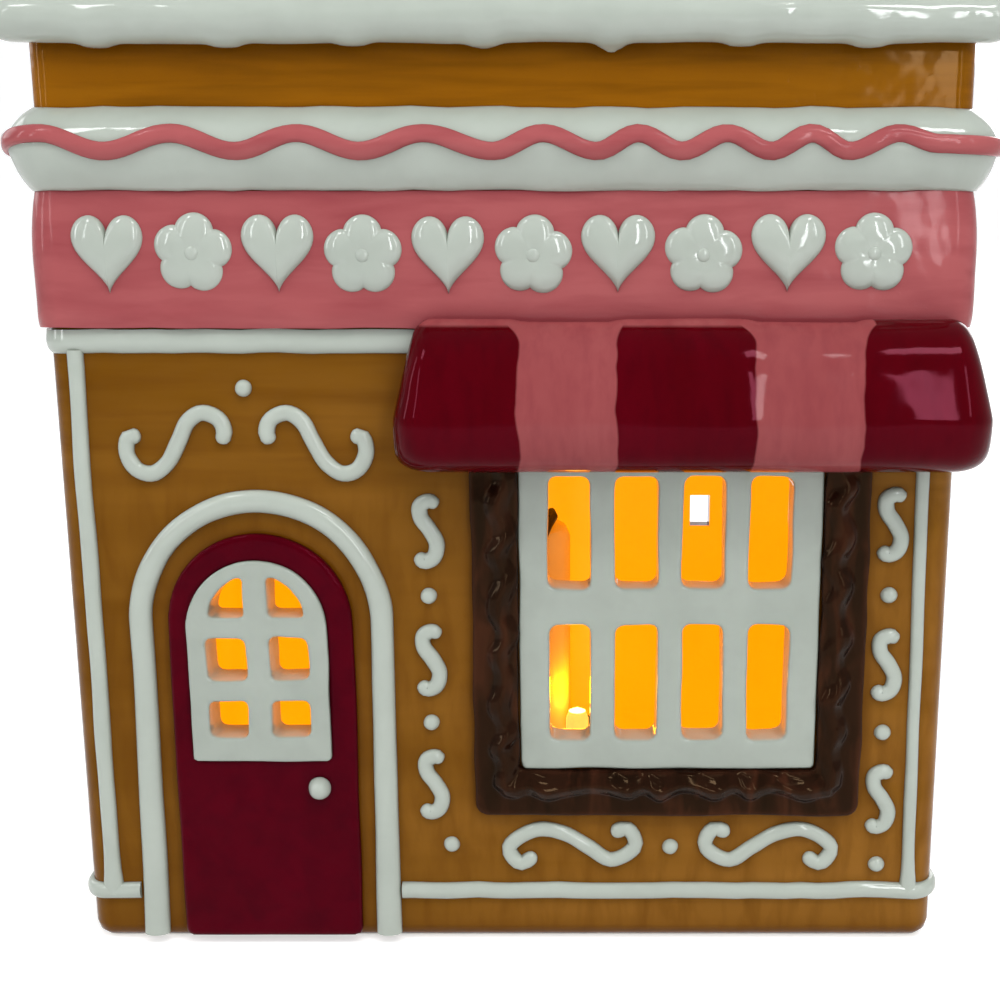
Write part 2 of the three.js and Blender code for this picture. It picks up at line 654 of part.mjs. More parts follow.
// Chocolate frame with a wavy raised ridge along its inner edge
function surroundGeometry() {
  const [x0, x1] = [LATTICE_X0 - SEAT, LATTICE_X1 + SEAT];
  const [z0, z1] = [LATTICE_BOTTOM - SEAT, LATTICE_TOP + SEAT];
  const [outX0, outX1] = [LATTICE_X0 - SURROUND_SIDE, LATTICE_X1 + SURROUND_SIDE];
  const shape = roundedRect(outX0, outX1, SURROUND_BOTTOM, SURROUND_TOP, SURROUND_CORNER);
  shape.holes.push(rectShape(x0, x1, z0, z1, THREE.Path));
  const band = plate(shape, 0, SURROUND_PROUD, 2);
  const inset = RIDGE_WIDTH / 2 + RIDGE_WAVE + RIDGE_MARGIN;
  const [left, right, low, high] = [x0 - inset, x1 + inset, z0 - inset, z1 + inset];
  const corners = [[left, low], [right, low], [right, high], [left, high]];
  const rings = [];
  corners.forEach(([ax, az], i) => {
    const [bx, bz] = corners[(i + 1) % 4];
    const length = Math.hypot(bx - ax, bz - az);
    const waves = Math.round(length / RIDGE_PITCH);
    const [ux, uz] = [(bx - ax) / length, (bz - az) / length];
    const steps = waves * 4;
    for (let k = 0; k < steps; k++) {
      const s = (k / steps) * length;
      const sway = RIDGE_WAVE * Math.sin((2 * Math.PI * k * waves) / steps);
      const corner = k === 0;
      const [nx, nz] = corner ? cornerOut(i) : [uz, -ux];
      const foot = SURROUND_PROUD - LAP;
      const section = [[-1, foot], [-0.5, RIDGE_PROUD], [0.5, RIDGE_PROUD], [1, foot]];
      rings.push(
        section.map(([f, p]) => {
          const o = f * (RIDGE_WIDTH / 2) + (corner ? 0 : sway);
          return new THREE.Vector3(ax + ux * s + nx * o, az + uz * s + nz * o, p);
        }),
      );
    }
  });
  return union([band, skin(rings, true)]);
}

// The mitre direction at a corner of the ridge
function cornerOut(i) {
  return [[-1, -1], [1, -1], [1, 1], [-1, 1]][i];
}

function awningGeometry() {
  const top = SIGN_BOTTOM - SIGN_GAP;
  const lip = AWNING_WALL_BOTTOM - AWNING_UNDERSIDE;
  const [h, o] = [top + AWNING_SWELL - lip, AWNING_OUT];
  const clear = SIGN_PROUD + SEAT;
  const profile = [
    [0, AWNING_WALL_BOTTOM], [0, top], [clear, top], [clear + 0.3, lip + h * 0.98], [o * 0.36, lip + h],
    [o * 0.56, lip + h * 0.93], [o * 0.77, lip + h * 0.77], [o * 0.92, lip + h * 0.58], [o, lip + h * 0.36],
    [o, lip + h * 0.19], [o * 0.92, lip + h * 0.06], [o * 0.78, lip], [o * 0.6, lip + h * 0.05],
  ];
  const length = AWNING_X1 - AWNING_X0;
  const stations = [0, 0.08, 0.28, 0.6, 1].map((s) => s * AWNING_END);
  const at = [...stations, length / 2, ...stations.map((s) => length - s).reverse()];
  const rings = at.map((s) => {
    const end = Math.min(s, length - s, AWNING_END) / AWNING_END;
    const f = Math.sqrt(1 - (1 - end) ** 2);
    const inward = s < length / 2 ? 1 : -1;
    return profile.map(([p, z]) => {
      const high = Math.max(0, (z - lip) / h - AWNING_WAIST) / (1 - AWNING_WAIST);
      const drawn = inward * AWNING_TAPER * high * (1 - end);
      const reach = AWNING_END_REACH + (1 - AWNING_END_REACH) * f;
      const out = p <= clear ? p : clear + (p - clear) * reach;
      const back = AWNING_WALL_BOTTOM;
      const share = AWNING_END_HEIGHT + (1 - AWNING_END_HEIGHT) * f;
      const height = z < back ? back + (z - back) * share : z;
      return new THREE.Vector3(AWNING_X0 + s + drawn, height, out);
    });
  });
  return skin(rings);
}

function doorGeometry() {
  const shape = archShape(DOOR_X, DOOR_WIDTH / 2, DOOR_BOTTOM, DOOR_SPRING);
  const [halfHole, foot] = [DOOR_FRAME_R + SEAT, DOOR_FRAME_BOTTOM - SEAT];
  shape.holes.push(archShape(DOOR_X, halfHole, foot, DOOR_FRAME_SPRING, THREE.Path));
  return plate(shape, 0, DOOR_PROUD, 12);
}

// Door light: a white frame on the wall's face with bars through its thickness
function doorFrameGeometry() {
  const flange = plate(
    archShape(DOOR_X, DOOR_FRAME_R, DOOR_FRAME_BOTTOM, DOOR_FRAME_SPRING),
    0,
    DOOR_FRAME_PROUD,
    14,
  );
  const insert = plate(
    archShape(DOOR_X, DOOR_INSERT_R, DOOR_FRAME_BOTTOM + DOOR_FRAME_RIM, DOOR_FRAME_SPRING),
    -WALL,
    WALL + LAP,
    14,
  );
  const tools = [];
  for (const side of [-1, 1]) {
    const inner = DOOR_X + (side * DOOR_MULLION) / 2;
    const outer = inner + side * DOOR_PANE_WIDTH;
    const [x0, x1] = [Math.min(inner, outer), Math.max(inner, outer)];
    for (const { bottom, height } of DOOR_PANE_ROWS) {
      const z = DOOR_FRAME_BOTTOM + bottom;
      const pane = roundedRect(x0, x1, z, z + height, DOOR_PANE_CORNER);
      tools.push(plate(pane, -WALL - PAST, WALL + DOOR_FRAME_PROUD + 2 * PAST, 2));
    }
    const foot = DOOR_FRAME_BOTTOM + DOOR_LIGHT_BOTTOM;
    const quarter = new THREE.Shape();
    quarter.moveTo(inner, foot).lineTo(outer, foot);
    const shoulder = foot + DOOR_LIGHT_SHOULDER;
    quarter.quadraticCurveTo(outer - side * DOOR_LIGHT_LEAN, shoulder, inner, foot + DOOR_LIGHT_HEIGHT);
    quarter.closePath();
    tools.push(plate(quarter, -WALL - PAST, WALL + DOOR_FRAME_PROUD + 2 * PAST, 4));
  }
  return cut(union([flange, insert]), tools);
}

function archIcingGeometry() {
  const rings = [];
  const middle = ARCH_INNER + ARCH_BAND / 2;
  const half = ARCH_BAND / 2;
  const dome = [[-1, 0], [-0.75, 0.75], [0, 1], [0.75, 0.75], [1, 0]];
  const section = (px, pz, nx, nz) =>
    dome.map(([f, h]) => new THREE.Vector3(px + nx * f * half, pz + nz * f * half, h * ARCH_PROUD));
  rings.push(section(DOOR_X + middle, DOOR_BOTTOM, 1, 0));
  const steps = 20;
  for (let k = 0; k <= steps; k++) {
    const a = (Math.PI * k) / steps;
    const [c, s] = [Math.cos(a), Math.sin(a)];
    rings.push(section(DOOR_X + middle * c, DOOR_SPRING + middle * s, c, s));
  }
  rings.push(section(DOOR_X - middle, DOOR_BOTTOM, -1, 0));
  return skin(rings);
}

function knobGeometry() {
  const ball = [[0, 0], [0.7, 0], [1, 0.35], [0.9, 0.7], [0.45, 0.96], [0, 1]];
  const profile = ball.map(([r, z]) => [KNOB_R * r, KNOB_PROUD * z]);
  return latheSolid(profile, 12).translate(DOOR_X + DOOR_WIDTH / 2 - KNOB_INSET, KNOB_Z, DOOR_PROUD);
}

// Line of icing along the base, broken by the door arch, with a line up each corner
function borderGeometry() {
  const [z0, z1] = [BASE_LINE_Z, BASE_LINE_Z + LINE_WIDTH];
  const profile = [[0, z0], [LINE_PROUD, z0 + LINE_EDGE], [LINE_PROUD, z1 - LINE_EDGE], [0, z1]];
  const reach = ARCH_OUTER + SEAT;
  const corner = wallPath();
  const path = [frontPoint(DOOR_X + reach), ...corner, frontPoint(DOOR_X - reach)];
  const parts = [skin(along(path, profile))];
  const underAwning = AWNING_WALL_BOTTOM - LINE_PROUD - SEAT;
  const lines = [
    { x: -HALF_W + CORNER_LINE_LEFT, top: BEAD_BOTTOM, y: FRONT_Y, out: -1 },
    { x: HALF_W - CORNER_LINE_RIGHT, top: underAwning, y: FRONT_Y, out: -1 },
    { x: -HALF_W + CORNER_LINE_LEFT, top: BEAD_BOTTOM, y: FRONT_Y + WALL_DEPTH, out: 1 },
    { x: HALF_W - CORNER_LINE_RIGHT, top: BEAD_BOTTOM, y: FRONT_Y + WALL_DEPTH, out: 1 },
  ];
  const half = CORNER_LINE / 2;
  for (const { x, top, y, out } of lines) {
    const raised = y + out * LINE_PROUD;
    const outline = [[-half, y], [LINE_EDGE - half, raised], [half - LINE_EDGE, raised], [half, y]];
    const level = (z) => outline.map(([dx, py]) => new THREE.Vector3(x + dx, py, z));
    parts.push(skin([level(z0 + LINE_EDGE), level(top)]));
  }
  return union(parts);
}

function beadGeometry() {
  const [z0, z1] = [BEAD_BOTTOM, BEAD_TOP];
  const profile = [[0, z0], [BEAD_PROUD, z0 + LINE_EDGE], [BEAD_PROUD, z1 - LINE_EDGE], [0, z1]];
  const path = [...wallPath().slice(CORNER_STEPS), frontPoint(AWNING_X0 + AWNING_TAPER * BEAD_SHARE - SEAT)];
  return skin(along(path, profile));
}

function signGeometry() {
  const o = SIGN_PROUD;
  const profile = [
    [0, SIGN_BOTTOM], [o * SIGN_EDGE_LOW, SIGN_BOTTOM], [o, SIGN_BOTTOM + SIGN_EDGE],
    [o, SIGN_TOP - SIGN_EDGE], [o * SIGN_EDGE_HIGH, SIGN_TOP], [0, SIGN_TOP],
  ];
  return wallRing(profile);
}

const CORNICE_SHAPE = [
  [0.42, 0], [0.67, 0.14], [0.89, 0.28], [1, 0.42], [1, 0.53],
  [0.89, 0.68], [0.67, 0.81], [0.39, 0.93], [0, 1],
];
const CORNICE_PROFILE = CORNICE_SHAPE.map(([o, t]) => [o * CORNICE_PROUD, SIGN_TOP + t * CORNICE_HEIGHT]);

function corniceGeometry() {
  return wallRing([[0, SIGN_TOP], ...CORNICE_PROFILE]);
}

// How far the cornice stands out at a height
function corniceOut(z) {
  for (let i = 1; i < CORNICE_PROFILE.length; i++) {
    const [o0, z0] = CORNICE_PROFILE[i - 1];
    const [o1, z1] = CORNICE_PROFILE[i];
    if (z <= z1) return o0 + ((o1 - o0) * (z - z0)) / (z1 - z0);
  }
  return 0;
}

// Pink line that waves round the cornice, laid a hair's breadth off it
function squiggleGeometry() {
  const middle = SIGN_TOP + CORNICE_HEIGHT * SQUIGGLE_AT;
  const path = wallPath();
  let run = 0;
  const corners = path.map((p, i) => {
    const q = path[(i + 1) % path.length];
    const here = run;
    run += Math.hypot(q.x - p.x, q.y - p.y);
    return here;
  });
  const waves = Math.round(run / SQUIGGLE_PITCH);
  const step = run / waves / 4;
  const stops = [...corners];
  for (let k = 0; k < waves * 4; k++) {
    if (corners.every((c) => Math.abs(c - k * step) > step / 4)) stops.push(k * step);
  }
  stops.sort((a, b) => a - b);
  const h = SQUIGGLE_WIDTH / 2;
  const flat = h * SQUIGGLE_TOP;
  const section = [[-h, 0], [0, 0], [h, 0], [flat, SQUIGGLE_PROUD], [-flat, SQUIGGLE_PROUD]];
  const rings = stops.map((stop) => {
    const i = corners.findLastIndex((c) => c <= stop + 1e-9);
    const [p, q] = [path[i], path[(i + 1) % path.length]];
    const f = (stop - corners[i]) / Math.hypot(q.x - p.x, q.y - p.y);
    const out = p.out.clone().lerp(q.out, f).normalize();
    const z = middle + SQUIGGLE_WAVE * Math.cos((2 * Math.PI * stop) / (4 * step));
    const [x, y] = [p.x + (q.x - p.x) * f, p.y + (q.y - p.y) * f];
    return section.map(([dz, lift]) => {
      const o = corniceOut(z + dz) + SQUIGGLE_OFF + lift;
      return new THREE.Vector3(x + out.x * o, y + out.y * o, z + dz);
    });
  });
  return skin(rings, true);
}

// Roof: a hollow gable whose ridge runs along the shop front
const ROOF_TAN = Math.tan(THREE.MathUtils.degToRad(ROOF_PITCH_DEG));
const ROOF_COS = Math.cos(THREE.MathUtils.degToRad(ROOF_PITCH_DEG));
const ROOF_HALF = WALL_DEPTH / 2 + ROOF_EAVE;
const RIDGE_Z = WALL_TOP + ROOF_EAVE_THICK + ROOF_HALF * ROOF_TAN;
const ROOF_X = HALF_W + ROOF_RAKE;

function roofPrism(section, halfX) {
  return skin([-halfX, halfX].map((x) => section.map(([y, z]) => new THREE.Vector3(x, MIDDLE_Y + y, z))));
}

function roofOuter(grow = 0) {
  const half = ROOF_HALF + grow;
  const cap = RIDGE_Z - RIDGE_CAP * ROOF_TAN + grow / ROOF_COS;
  return roofPrism(
    [
      [-half, WALL_TOP - grow], [half, WALL_TOP - grow], [half, WALL_TOP + ROOF_EAVE_THICK + grow],
      [RIDGE_CAP, cap], [0, cap + RIDGE_CAP * RIDGE_CAP_RISE * ROOF_TAN], [-RIDGE_CAP, cap],
      [-half, WALL_TOP + ROOF_EAVE_THICK + grow],
    ],
    ROOF_X + grow,
  );
}

function roofGeometry() {
  const inner = WALL_DEPTH / 2 - WALL;
  const apex = RIDGE_Z - ROOF_THICK / ROOF_COS - RIDGE_CAP / 4;
  const shoulder = apex - inner * ROOF_TAN;
  const floor = WALL_TOP - PAST;
  const section = [[-inner, floor], [inner, floor], [inner, shoulder], [0, apex], [-inner, shoulder]];
  const cavity = roofPrism(section, HALF_W - WALL);
  return cut(roofOuter(), [cavity]);
}

// A round bar of icing between two points, with domed ends
function icingBar(a, b, r, segments = 8) {
  const [from, to] = [new THREE.Vector3(...a), new THREE.Vector3(...b)];
  const d = to.clone().sub(from).normalize();
  const u = new THREE.Vector3(0, 0, 1).addScaledVector(d, -d.z).normalize();
  const v = d.clone().cross(u);
  const rings = [];
  for (const [end, sign] of [[from, -1], [to, 1]]) {
    const caps = [[0.25, 0.95], [0.8, 0.6], [1, 0]];
    for (const [f, back] of sign < 0 ? caps : [...caps].reverse()) {
      const centre = end.clone().addScaledVector(d, sign * back * r);
      rings.push(
        Array.from({ length: segments }, (_, j) => {
          const t = (2 * Math.PI * j) / segments;
          const point = centre.clone().addScaledVector(u, r * f * Math.cos(t));
          return point.addScaledVector(v, r * f * Math.sin(t));
        }),
      );
    }
  }
  return skin(rings);
}

function roofIcingGeometry() {
  const eaveZ = WALL_TOP + EAVE_ROLL_RISE;
  const eaveY = ROOF_HALF - EAVE_ROLL_INSET;
  const barX = ROOF_X - RAKE_ROLL_R + RAKE_ROLL_SINK;
  const parts = [];
  for (const side of [-1, 1]) {
    const y = MIDDLE_Y + side * eaveY;
    parts.push(icingBar([-barX, y, eaveZ], [barX, y, eaveZ], EAVE_ROLL_R));
    for (const end of [-1, 1]) {
      const rise = (ROOF_HALF - eaveY) * ROOF_TAN;
      parts.push(
        icingBar(
          [end * ROOF_X, y, WALL_TOP + ROOF_EAVE_THICK + rise - RAKE_ROLL_SINK],
          [end * ROOF_X, MIDDLE_Y, RIDGE_Z - 2 * RAKE_ROLL_SINK],
          RAKE_ROLL_R,
        ),
      );
    }
    EAVE_DRIP_DROPS.forEach((drop, i) => {
      const x = EAVE_DRIP_MIDDLE + (i - 3) * EAVE_DRIP_PITCH;
      const out = WALL_DEPTH / 2 + SEAT + EAVE_DRIP_R * EAVE_DRIP_FLAT;
      const drip = new THREE.SphereGeometry(EAVE_DRIP_R, 6, 4).scale(1, EAVE_DRIP_FLAT, 1);
      const low = eaveZ - EAVE_ROLL_R + EAVE_DRIP_LIFT - drop * EAVE_DRIP_HANG;
      drip.translate(x, MIDDLE_Y + side * out, low + EAVE_DRIP_R);
      parts.push(toIndexed(justPositions(drip)));
    });
  }
  const ridgeZ = RIDGE_Z - RIDGE_ROLL_SINK;
  parts.push(icingBar([-ROOF_X, MIDDLE_Y, ridgeZ], [ROOF_X, MIDDLE_Y, ridgeZ], RIDGE_ROLL_R));
  const walls = prism([[-SEAT, CORNICE_TOP], [-SEAT, RIDGE_Z]], CORNER_R, true);
  return cut(union(parts), [roofOuter(ICING_GAP), walls]);
}

function justPositions(geometry) {
  const bare = new THREE.BufferGeometry();
  bare.setAttribute("position", geometry.getAttribute("position"));
  bare.setIndex(geometry.index);
  return bare;
}

// Scroll centrelines about their own middle, x right and y up
const S_CURVE = [
  [1.5, 4], [0.4, 5.5], [-1.3, 4.6], [-1.2, 2.3], [0.6, 0], [1.5, -2.7], [0.7, -5.2], [-0.9, -5.5],
  [-1.5, -4.1],
];
const DOOR_CURVE = [
  [-6.6, 0.6], [-9.2, -2.1], [-5.8, -5.8], [-0.6, -2], [2, 4.4], [6, 5.8], [9.2, 2.8], [7.7, 0],
];
const LONG_CURVE = [
  [-6.8, -1.7], [-9.8, -3.5], [-11.9, -0.3], [-6.8, 3.3], [-1.6, 2.6], [3.1, -0.2], [7.4, -2.8],
  [11.9, 0.1], [10.4, 3.5], [7.3, 2.6],
];
const moved = (curve, x, y, flip = 1) => curve.map(([a, b]) => [x + a * flip, y + b]);

function addScrolls() {
  const reach = Math.max(...DOOR_CURVE.map(([x]) => x)) + STROKE / 2;
  for (const [side, name] of [[-1, "left"], [1, "right"]]) {
    const doorX = DOOR_X - DOOR_SCROLL_ASIDE + side * (reach + DOOR_SCROLL_GAP / 2);
    const doorCurve = moved(DOOR_CURVE, doorX, DOOR_SCROLL_Z, -side);
    add(front, `door_scroll_${name}`, stroke(doorCurve), ICING);
    const longX = WINDOW_X + LONG_SCROLL_ASIDE + side * LONG_SCROLL_FROM_MIDDLE;
    const longCurve = moved(LONG_CURVE, longX, LONG_SCROLL_Z, -side);
    add(front, `sill_scroll_${name}`, stroke(longCurve, 15), ICING);
    const column = side < 0 ? LEFT_S_X : RIGHT_S_X;
    const pitch = side < 0 ? S_PITCH_LEFT : S_PITCH_RIGHT;
    const drop = side < 0 ? S_LEFT_DROP : 0;
    const top = AWNING_WALL_BOTTOM - S_TOP_BELOW_AWNING - S_HEIGHT / 2 - drop;
    for (let i = 0; i < 3; i++) {
      const z = top - i * pitch;
      const aside = side < 0 && i === 2 ? LAST_DOT_ASIDE : 0;
      add(front, `s_scroll_${name}_${i + 1}`, stroke(moved(S_CURVE, column, z)), ICING);
      add(front, `icing_dot_${name}_${i + 1}`, dotGeometry(column + aside, z - pitch / 2), ICING);
    }
  }
  add(front, "icing_dot_door", dotGeometry(DOOR_X - DOOR_SCROLL_ASIDE, DOOR_DOT_Z), ICING);
  add(front, "icing_dot_sill", dotGeometry(WINDOW_X + LONG_SCROLL_ASIDE, LONG_SCROLL_Z), ICING);
}

add(shop, "shop_shell", shellGeometry(), GINGERBREAD);
add(shop, "roof", roofGeometry(), GINGERBREAD);
add(shop, "roof_icing", roofIcingGeometry(), ICING);
add(shop, "cornice_roll", corniceGeometry(), ICING);
add(shop, "cornice_squiggle", squiggleGeometry(), PINK);
add(shop, "sign_band", signGeometry(), PINK);
add(shop, "sill_bead", beadGeometry(), ICING);
add(shop, "icing_border", borderGeometry(), ICING);
add(front, "awning", awningGeometry(), DARK_RED);
add(front, "window_lattice", latticeGeometry(), ICING);
add(front, "window_surround", surroundGeometry(), CHOCOLATE);
add(front, "door_slab", doorGeometry(), DARK_RED);
add(front, "door_window_frame", doorFrameGeometry(), ICING);
add(front, "door_arch_icing", archIcingGeometry(), ICING);
add(front, "door_knob", knobGeometry(), ICING);
addScrolls();
shop.add(front);

// Light unit, about its own upright axis
const light = new THREE.Group();
light.position.set(LIGHT_X, MIDDLE_Y, 0);
shop.add(light);
const polar = (r, deg) => {
  const a = THREE.MathUtils.degToRad(deg);
  return [r * Math.cos(a), r * Math.sin(a)];
};
const screwDegs = Array.from({ length: SCREW_COUNT }, (_, i) => SCREW_FIRST_DEG + (360 * i) / SCREW_COUNT);
const SWITCH_DEG = -90;
const SLIDE_HALF = (KNOB_SLIDE + SWITCH_TRAVEL) / 2 + SWITCH_ROOM;

// Drum and upright tube in one moulding, open below
function housingGeometry() {
  const z0 = PLATE_TOP;
  const crownZ = TUBE_TOP - TUBE_CROWN;
  const body = turned([
    [BORE_R, z0], [TUBE_R, z0], [TUBE_R, DRUM_TOP - SHELL_THICK],
    [DRUM_R - SHELL_THICK, DRUM_TOP - SHELL_THICK],
    [DRUM_R - SHELL_THICK, z0], [DRUM_R, z0], [DRUM_R, DRUM_TOP - EDGE], [DRUM_R - EDGE, DRUM_TOP],
    [TUBE_R, DRUM_TOP], [TUBE_R, crownZ + LAP], [BORE_R, crownZ + LAP],
  ], ROUND_STEPS);
  const crown = [
    [0, TUBE_TOP - TUBE_WALL], [BORE_R - TUBE_WALL, TUBE_TOP - TUBE_WALL], [BORE_R, crownZ],
    [TUBE_R, crownZ], [TUBE_R, TUBE_TOP - TUBE_ROUND],
  ];
  for (let k = 1; k <= 2; k++) {
    const a = (Math.PI / 2) * (k / 2);
    crown.push([TUBE_R - TUBE_ROUND * (1 - Math.cos(a)), TUBE_TOP - TUBE_ROUND * (1 - Math.sin(a))]);
  }
  crown.push([0, TUBE_TOP]);
  const parts = [body, latheSolid(crown, ROUND_STEPS)];
  const tools = [];
  for (const deg of screwDegs) {
    const [x, y] = polar(SCREW_RING, deg);
    parts.push(rod(SCREW_BOSS_R, z0, DRUM_TOP - LAP, 12, x, y));
    tools.push(rod(SCREW_R + SCREW_BITE, z0 - PAST, z0 + SCREW_LENGTH, 8, x, y));
  }
  const [gx, gy] = polar(GROMMET_RING, GROMMET_DEG);
  const neckR = GROMMET_R * GROMMET_NECK + CELL_PLAY;
  tools.push(rod(neckR, TUBE_TOP - TUBE_WALL - PAST, TUBE_TOP + PAST, 12, gx, gy));
  return cut(union(parts), tools);
}

function basePlateGeometry() {
  const disc = turned(
    [
      [CAP_R + CAP_CLEAR, PLATE_BOTTOM], [FLANGE_R - EDGE, PLATE_BOTTOM], [FLANGE_R, PLATE_BOTTOM + EDGE],
      [FLANGE_R, PLATE_TOP], [CAP_R + CAP_CLEAR, PLATE_TOP],
    ],
    ROUND_STEPS,
  );
  const tools = [];
  for (const deg of screwDegs) {
    const [x, y] = polar(SCREW_RING, deg);
    tools.push(rod(SCREW_R + SCREW_BITE, PLATE_BOTTOM - PAST, PLATE_TOP + PAST, 8, x, y));
    tools.push(rod(SCREW_HEAD_R + SCREW_BITE, PLATE_BOTTOM - PAST, PLATE_BOTTOM + SCREW_HEAD, 10, x, y));
  }
  const [, y] = polar(SWITCH_RING, SWITCH_DEG);
  const wide = SWITCH_WINDOW / 2;
  tools.push(box(-SLIDE_HALF, SLIDE_HALF, y - wide, y + wide, PLATE_BOTTOM - PAST, PLATE_TOP + PAST));
  return cut(disc, tools);
}

function gasketGeometry() {
  const top = FLOOR + HOLE_BOSS - LAP;
  return turned(
    [
      [DRUM_R + RING_FIT, PLATE_TOP], [FLANGE_R - LAP, PLATE_TOP], [FLANGE_R - LAP, RECESS_TOP],
      [HOLE_R - RING_FIT, RECESS_TOP], [HOLE_R - RING_FIT, top], [DRUM_R + RING_FIT, top],
    ],
    ROUND_STEPS,
  );
}

function screwGeometry(x, y) {
  const head = PLATE_BOTTOM + SCREW_HEAD;
  const tip = PLATE_TOP + SCREW_LENGTH - LAP - SCREW_POINT;
  const profile = [
    [0, PLATE_BOTTOM + SCREW_BITE], [SCREW_HEAD_R, PLATE_BOTTOM + 2 * SCREW_BITE], [SCREW_HEAD_R, head],
    [SCREW_R, head], [SCREW_R, tip - SCREW_POINT], [0, tip],
  ];
  return latheSolid(profile, 12).translate(x, y, 0);
}

function ledGeometry(deg) {
  const z = DRUM_TOP + BOARD_THICK;
  const r = LED_R;
  const profile = [
    [0, z], [r + LED_FLANGE, z], [r + LED_FLANGE, z + LED_RIM], [r, z + LED_RIM], [r, z + LED_HEIGHT - r],
    [r * 0.75, z + LED_HEIGHT - r * 0.34], [0, z + LED_HEIGHT],
  ];
  const [x, y] = polar(LED_RING, deg);
  return latheSolid(profile, 12).translate(x, y, 0);
}

function grommetGeometry() {
  const [x, y] = polar(GROMMET_RING, GROMMET_DEG);
  const z = TUBE_TOP;
  const neckR = GROMMET_R * GROMMET_NECK;
  const profile = [
    [0, z - TUBE_WALL - LAP], [neckR, z - TUBE_WALL - LAP], [neckR, z], [GROMMET_R, z],
    [GROMMET_R, z + GROMMET_BRIM], [neckR, z + GROMMET_HEIGHT], [0, z + GROMMET_HEIGHT],
  ];
  return latheSolid(profile, 12).translate(x, y, 0);
}

// Lead from the grommet over the tube's edge and down its side to the ring board
function leadGeometry() {
  const top = TUBE_TOP + GROMMET_HEIGHT + SEAT;
  const ring = TUBE_R + LEAD_R + LEAD_OFF;
  const points = [
    [...polar(GROMMET_RING, GROMMET_DEG), top],
    [...polar(GROMMET_RING + 0.1, GROMMET_DEG - 1), top + LEAD_CREST],
    [...polar(ring - LEAD_BEND, (GROMMET_DEG + LEAD_DEG) / 2), top + LEAD_CREST],
    [...polar(ring, LEAD_DEG + LEAD_BEND), top - LEAD_BEND],
    [...polar(ring, LEAD_DEG), TUBE_TOP - 6],
    [...polar(ring, LEAD_DEG), (TUBE_TOP + DRUM_TOP) / 2],
    [...polar(ring, LEAD_DEG), DRUM_TOP + BOARD_THICK + SEAT],
  ].map((p) => new THREE.Vector3(...p));
  const path = new THREE.CatmullRomCurve3(points, false, "centripetal");
  const section = new THREE.Shape();
  section.absarc(0, 0, LEAD_R, 0, 2 * Math.PI);
  const made = new THREE.ExtrudeGeometry(section, { steps: 18, extrudePath: path, curveSegments: 4 });
  return outward(toIndexed(justPositions(made)));
}

function boardRingGeometry() {
  return turned(
    [
      [TUBE_R + SEAT, DRUM_TOP], [BOARD_RING_R, DRUM_TOP], [BOARD_RING_R, DRUM_TOP + BOARD_THICK],
      [TUBE_R + SEAT, DRUM_TOP + BOARD_THICK],
    ],
    ROUND_STEPS,
  );
}

// Battery stack: heights from the cap up
const CAP_TOP = PLATE_TOP - SEAT;
const NECK_TOP = CAP_TOP + CAP_NECK;
const CARRIER_Z = NECK_TOP;
const LOWER_CONTACT_Z = CARRIER_Z + DISC_THICK;
const CELL_Z = LOWER_CONTACT_Z + CONTACT_THICK + CONTACT_RISE;
const CELL_TOP = CELL_Z + CELL_LENGTH;
const UPPER_CONTACT_Z = CELL_TOP + TONGUE_SPACE;
const CARRIER_TOP = UPPER_CONTACT_Z + CONTACT_THICK;
const CONTROL_Z = CARRIER_TOP + DISC_THICK + CONTROL_GAP;
const cellDegs = [90, 210, 330];

function capGeometry() {
  const r = CAP_R;
  const neck = BORE_R - CAP_NECK_GAP;
  const body = latheSolid([
    [0, PLATE_BOTTOM], [r - EDGE, PLATE_BOTTOM], [r, PLATE_BOTTOM + EDGE], [r, CAP_TOP], [neck, CAP_TOP],
    [neck, CAP_TOP + LAP], [neck - CAP_GROOVE, CAP_TOP + LAP], [neck - CAP_GROOVE, NECK_TOP - LAP],
    [neck, NECK_TOP - LAP], [neck, NECK_TOP], [0, NECK_TOP],
  ]);
  const [halfL, halfW] = [COIN_SLOT.length / 2, COIN_SLOT.width / 2];
  const slotTop = PLATE_BOTTOM + COIN_SLOT.depth;
  return cut(body, [box(-halfL, halfL, -halfW, halfW, PLATE_BOTTOM - PAST, slotTop)]);
}

function sealGeometry() {
  const inner = BORE_R - CAP_NECK_GAP - CAP_GROOVE + RING_FIT;
  const outer = BORE_R - 2 * RING_FIT;
  const [z0, z1] = [CAP_TOP + LAP + RING_FIT, NECK_TOP - LAP - RING_FIT];
  return turned([[inner, z0], [outer, z0], [outer, z1], [inner, z1]]);
}

// Cage of two discs and three corner ribs that holds the cells
function carrierGeometry() {
  const r = BUNDLE_R;
  const top = CARRIER_TOP;
  const parts = [rod(r, CARRIER_Z, CARRIER_Z + DISC_THICK, 24), rod(r, top, top + DISC_THICK, 24)];
  for (const deg of cellDegs.map((d) => d + 60)) {
    const outer = r - CELL_PLAY;
    const rib = box(outer - RIB_DEPTH, outer, -RIB_WIDTH / 2, RIB_WIDTH / 2, CARRIER_Z + LAP, top + LAP);
    parts.push(rib.rotateZ(THREE.MathUtils.degToRad(deg)));
  }
  return union(parts);
}

// Sheet contact with a raised tongue under each cell
function contactGeometry(z, rise) {
  const r = BUNDLE_R - CONTACT_INSET;
  const parts = [rod(r, z, z + CONTACT_THICK, 14)];
  for (const deg of cellDegs) {
    const [x, y] = polar(CELL_RING, deg);
    const inside = CONTACT_THICK / 4;
    const up = [z + inside, z + CONTACT_THICK + rise];
    const [z0, z1] = rise > 0 ? up : [z + rise, z + CONTACT_THICK - inside];
    parts.push(rod(TONGUE_R, z0, z1, 8, x, y));
  }
  return union(parts);
}

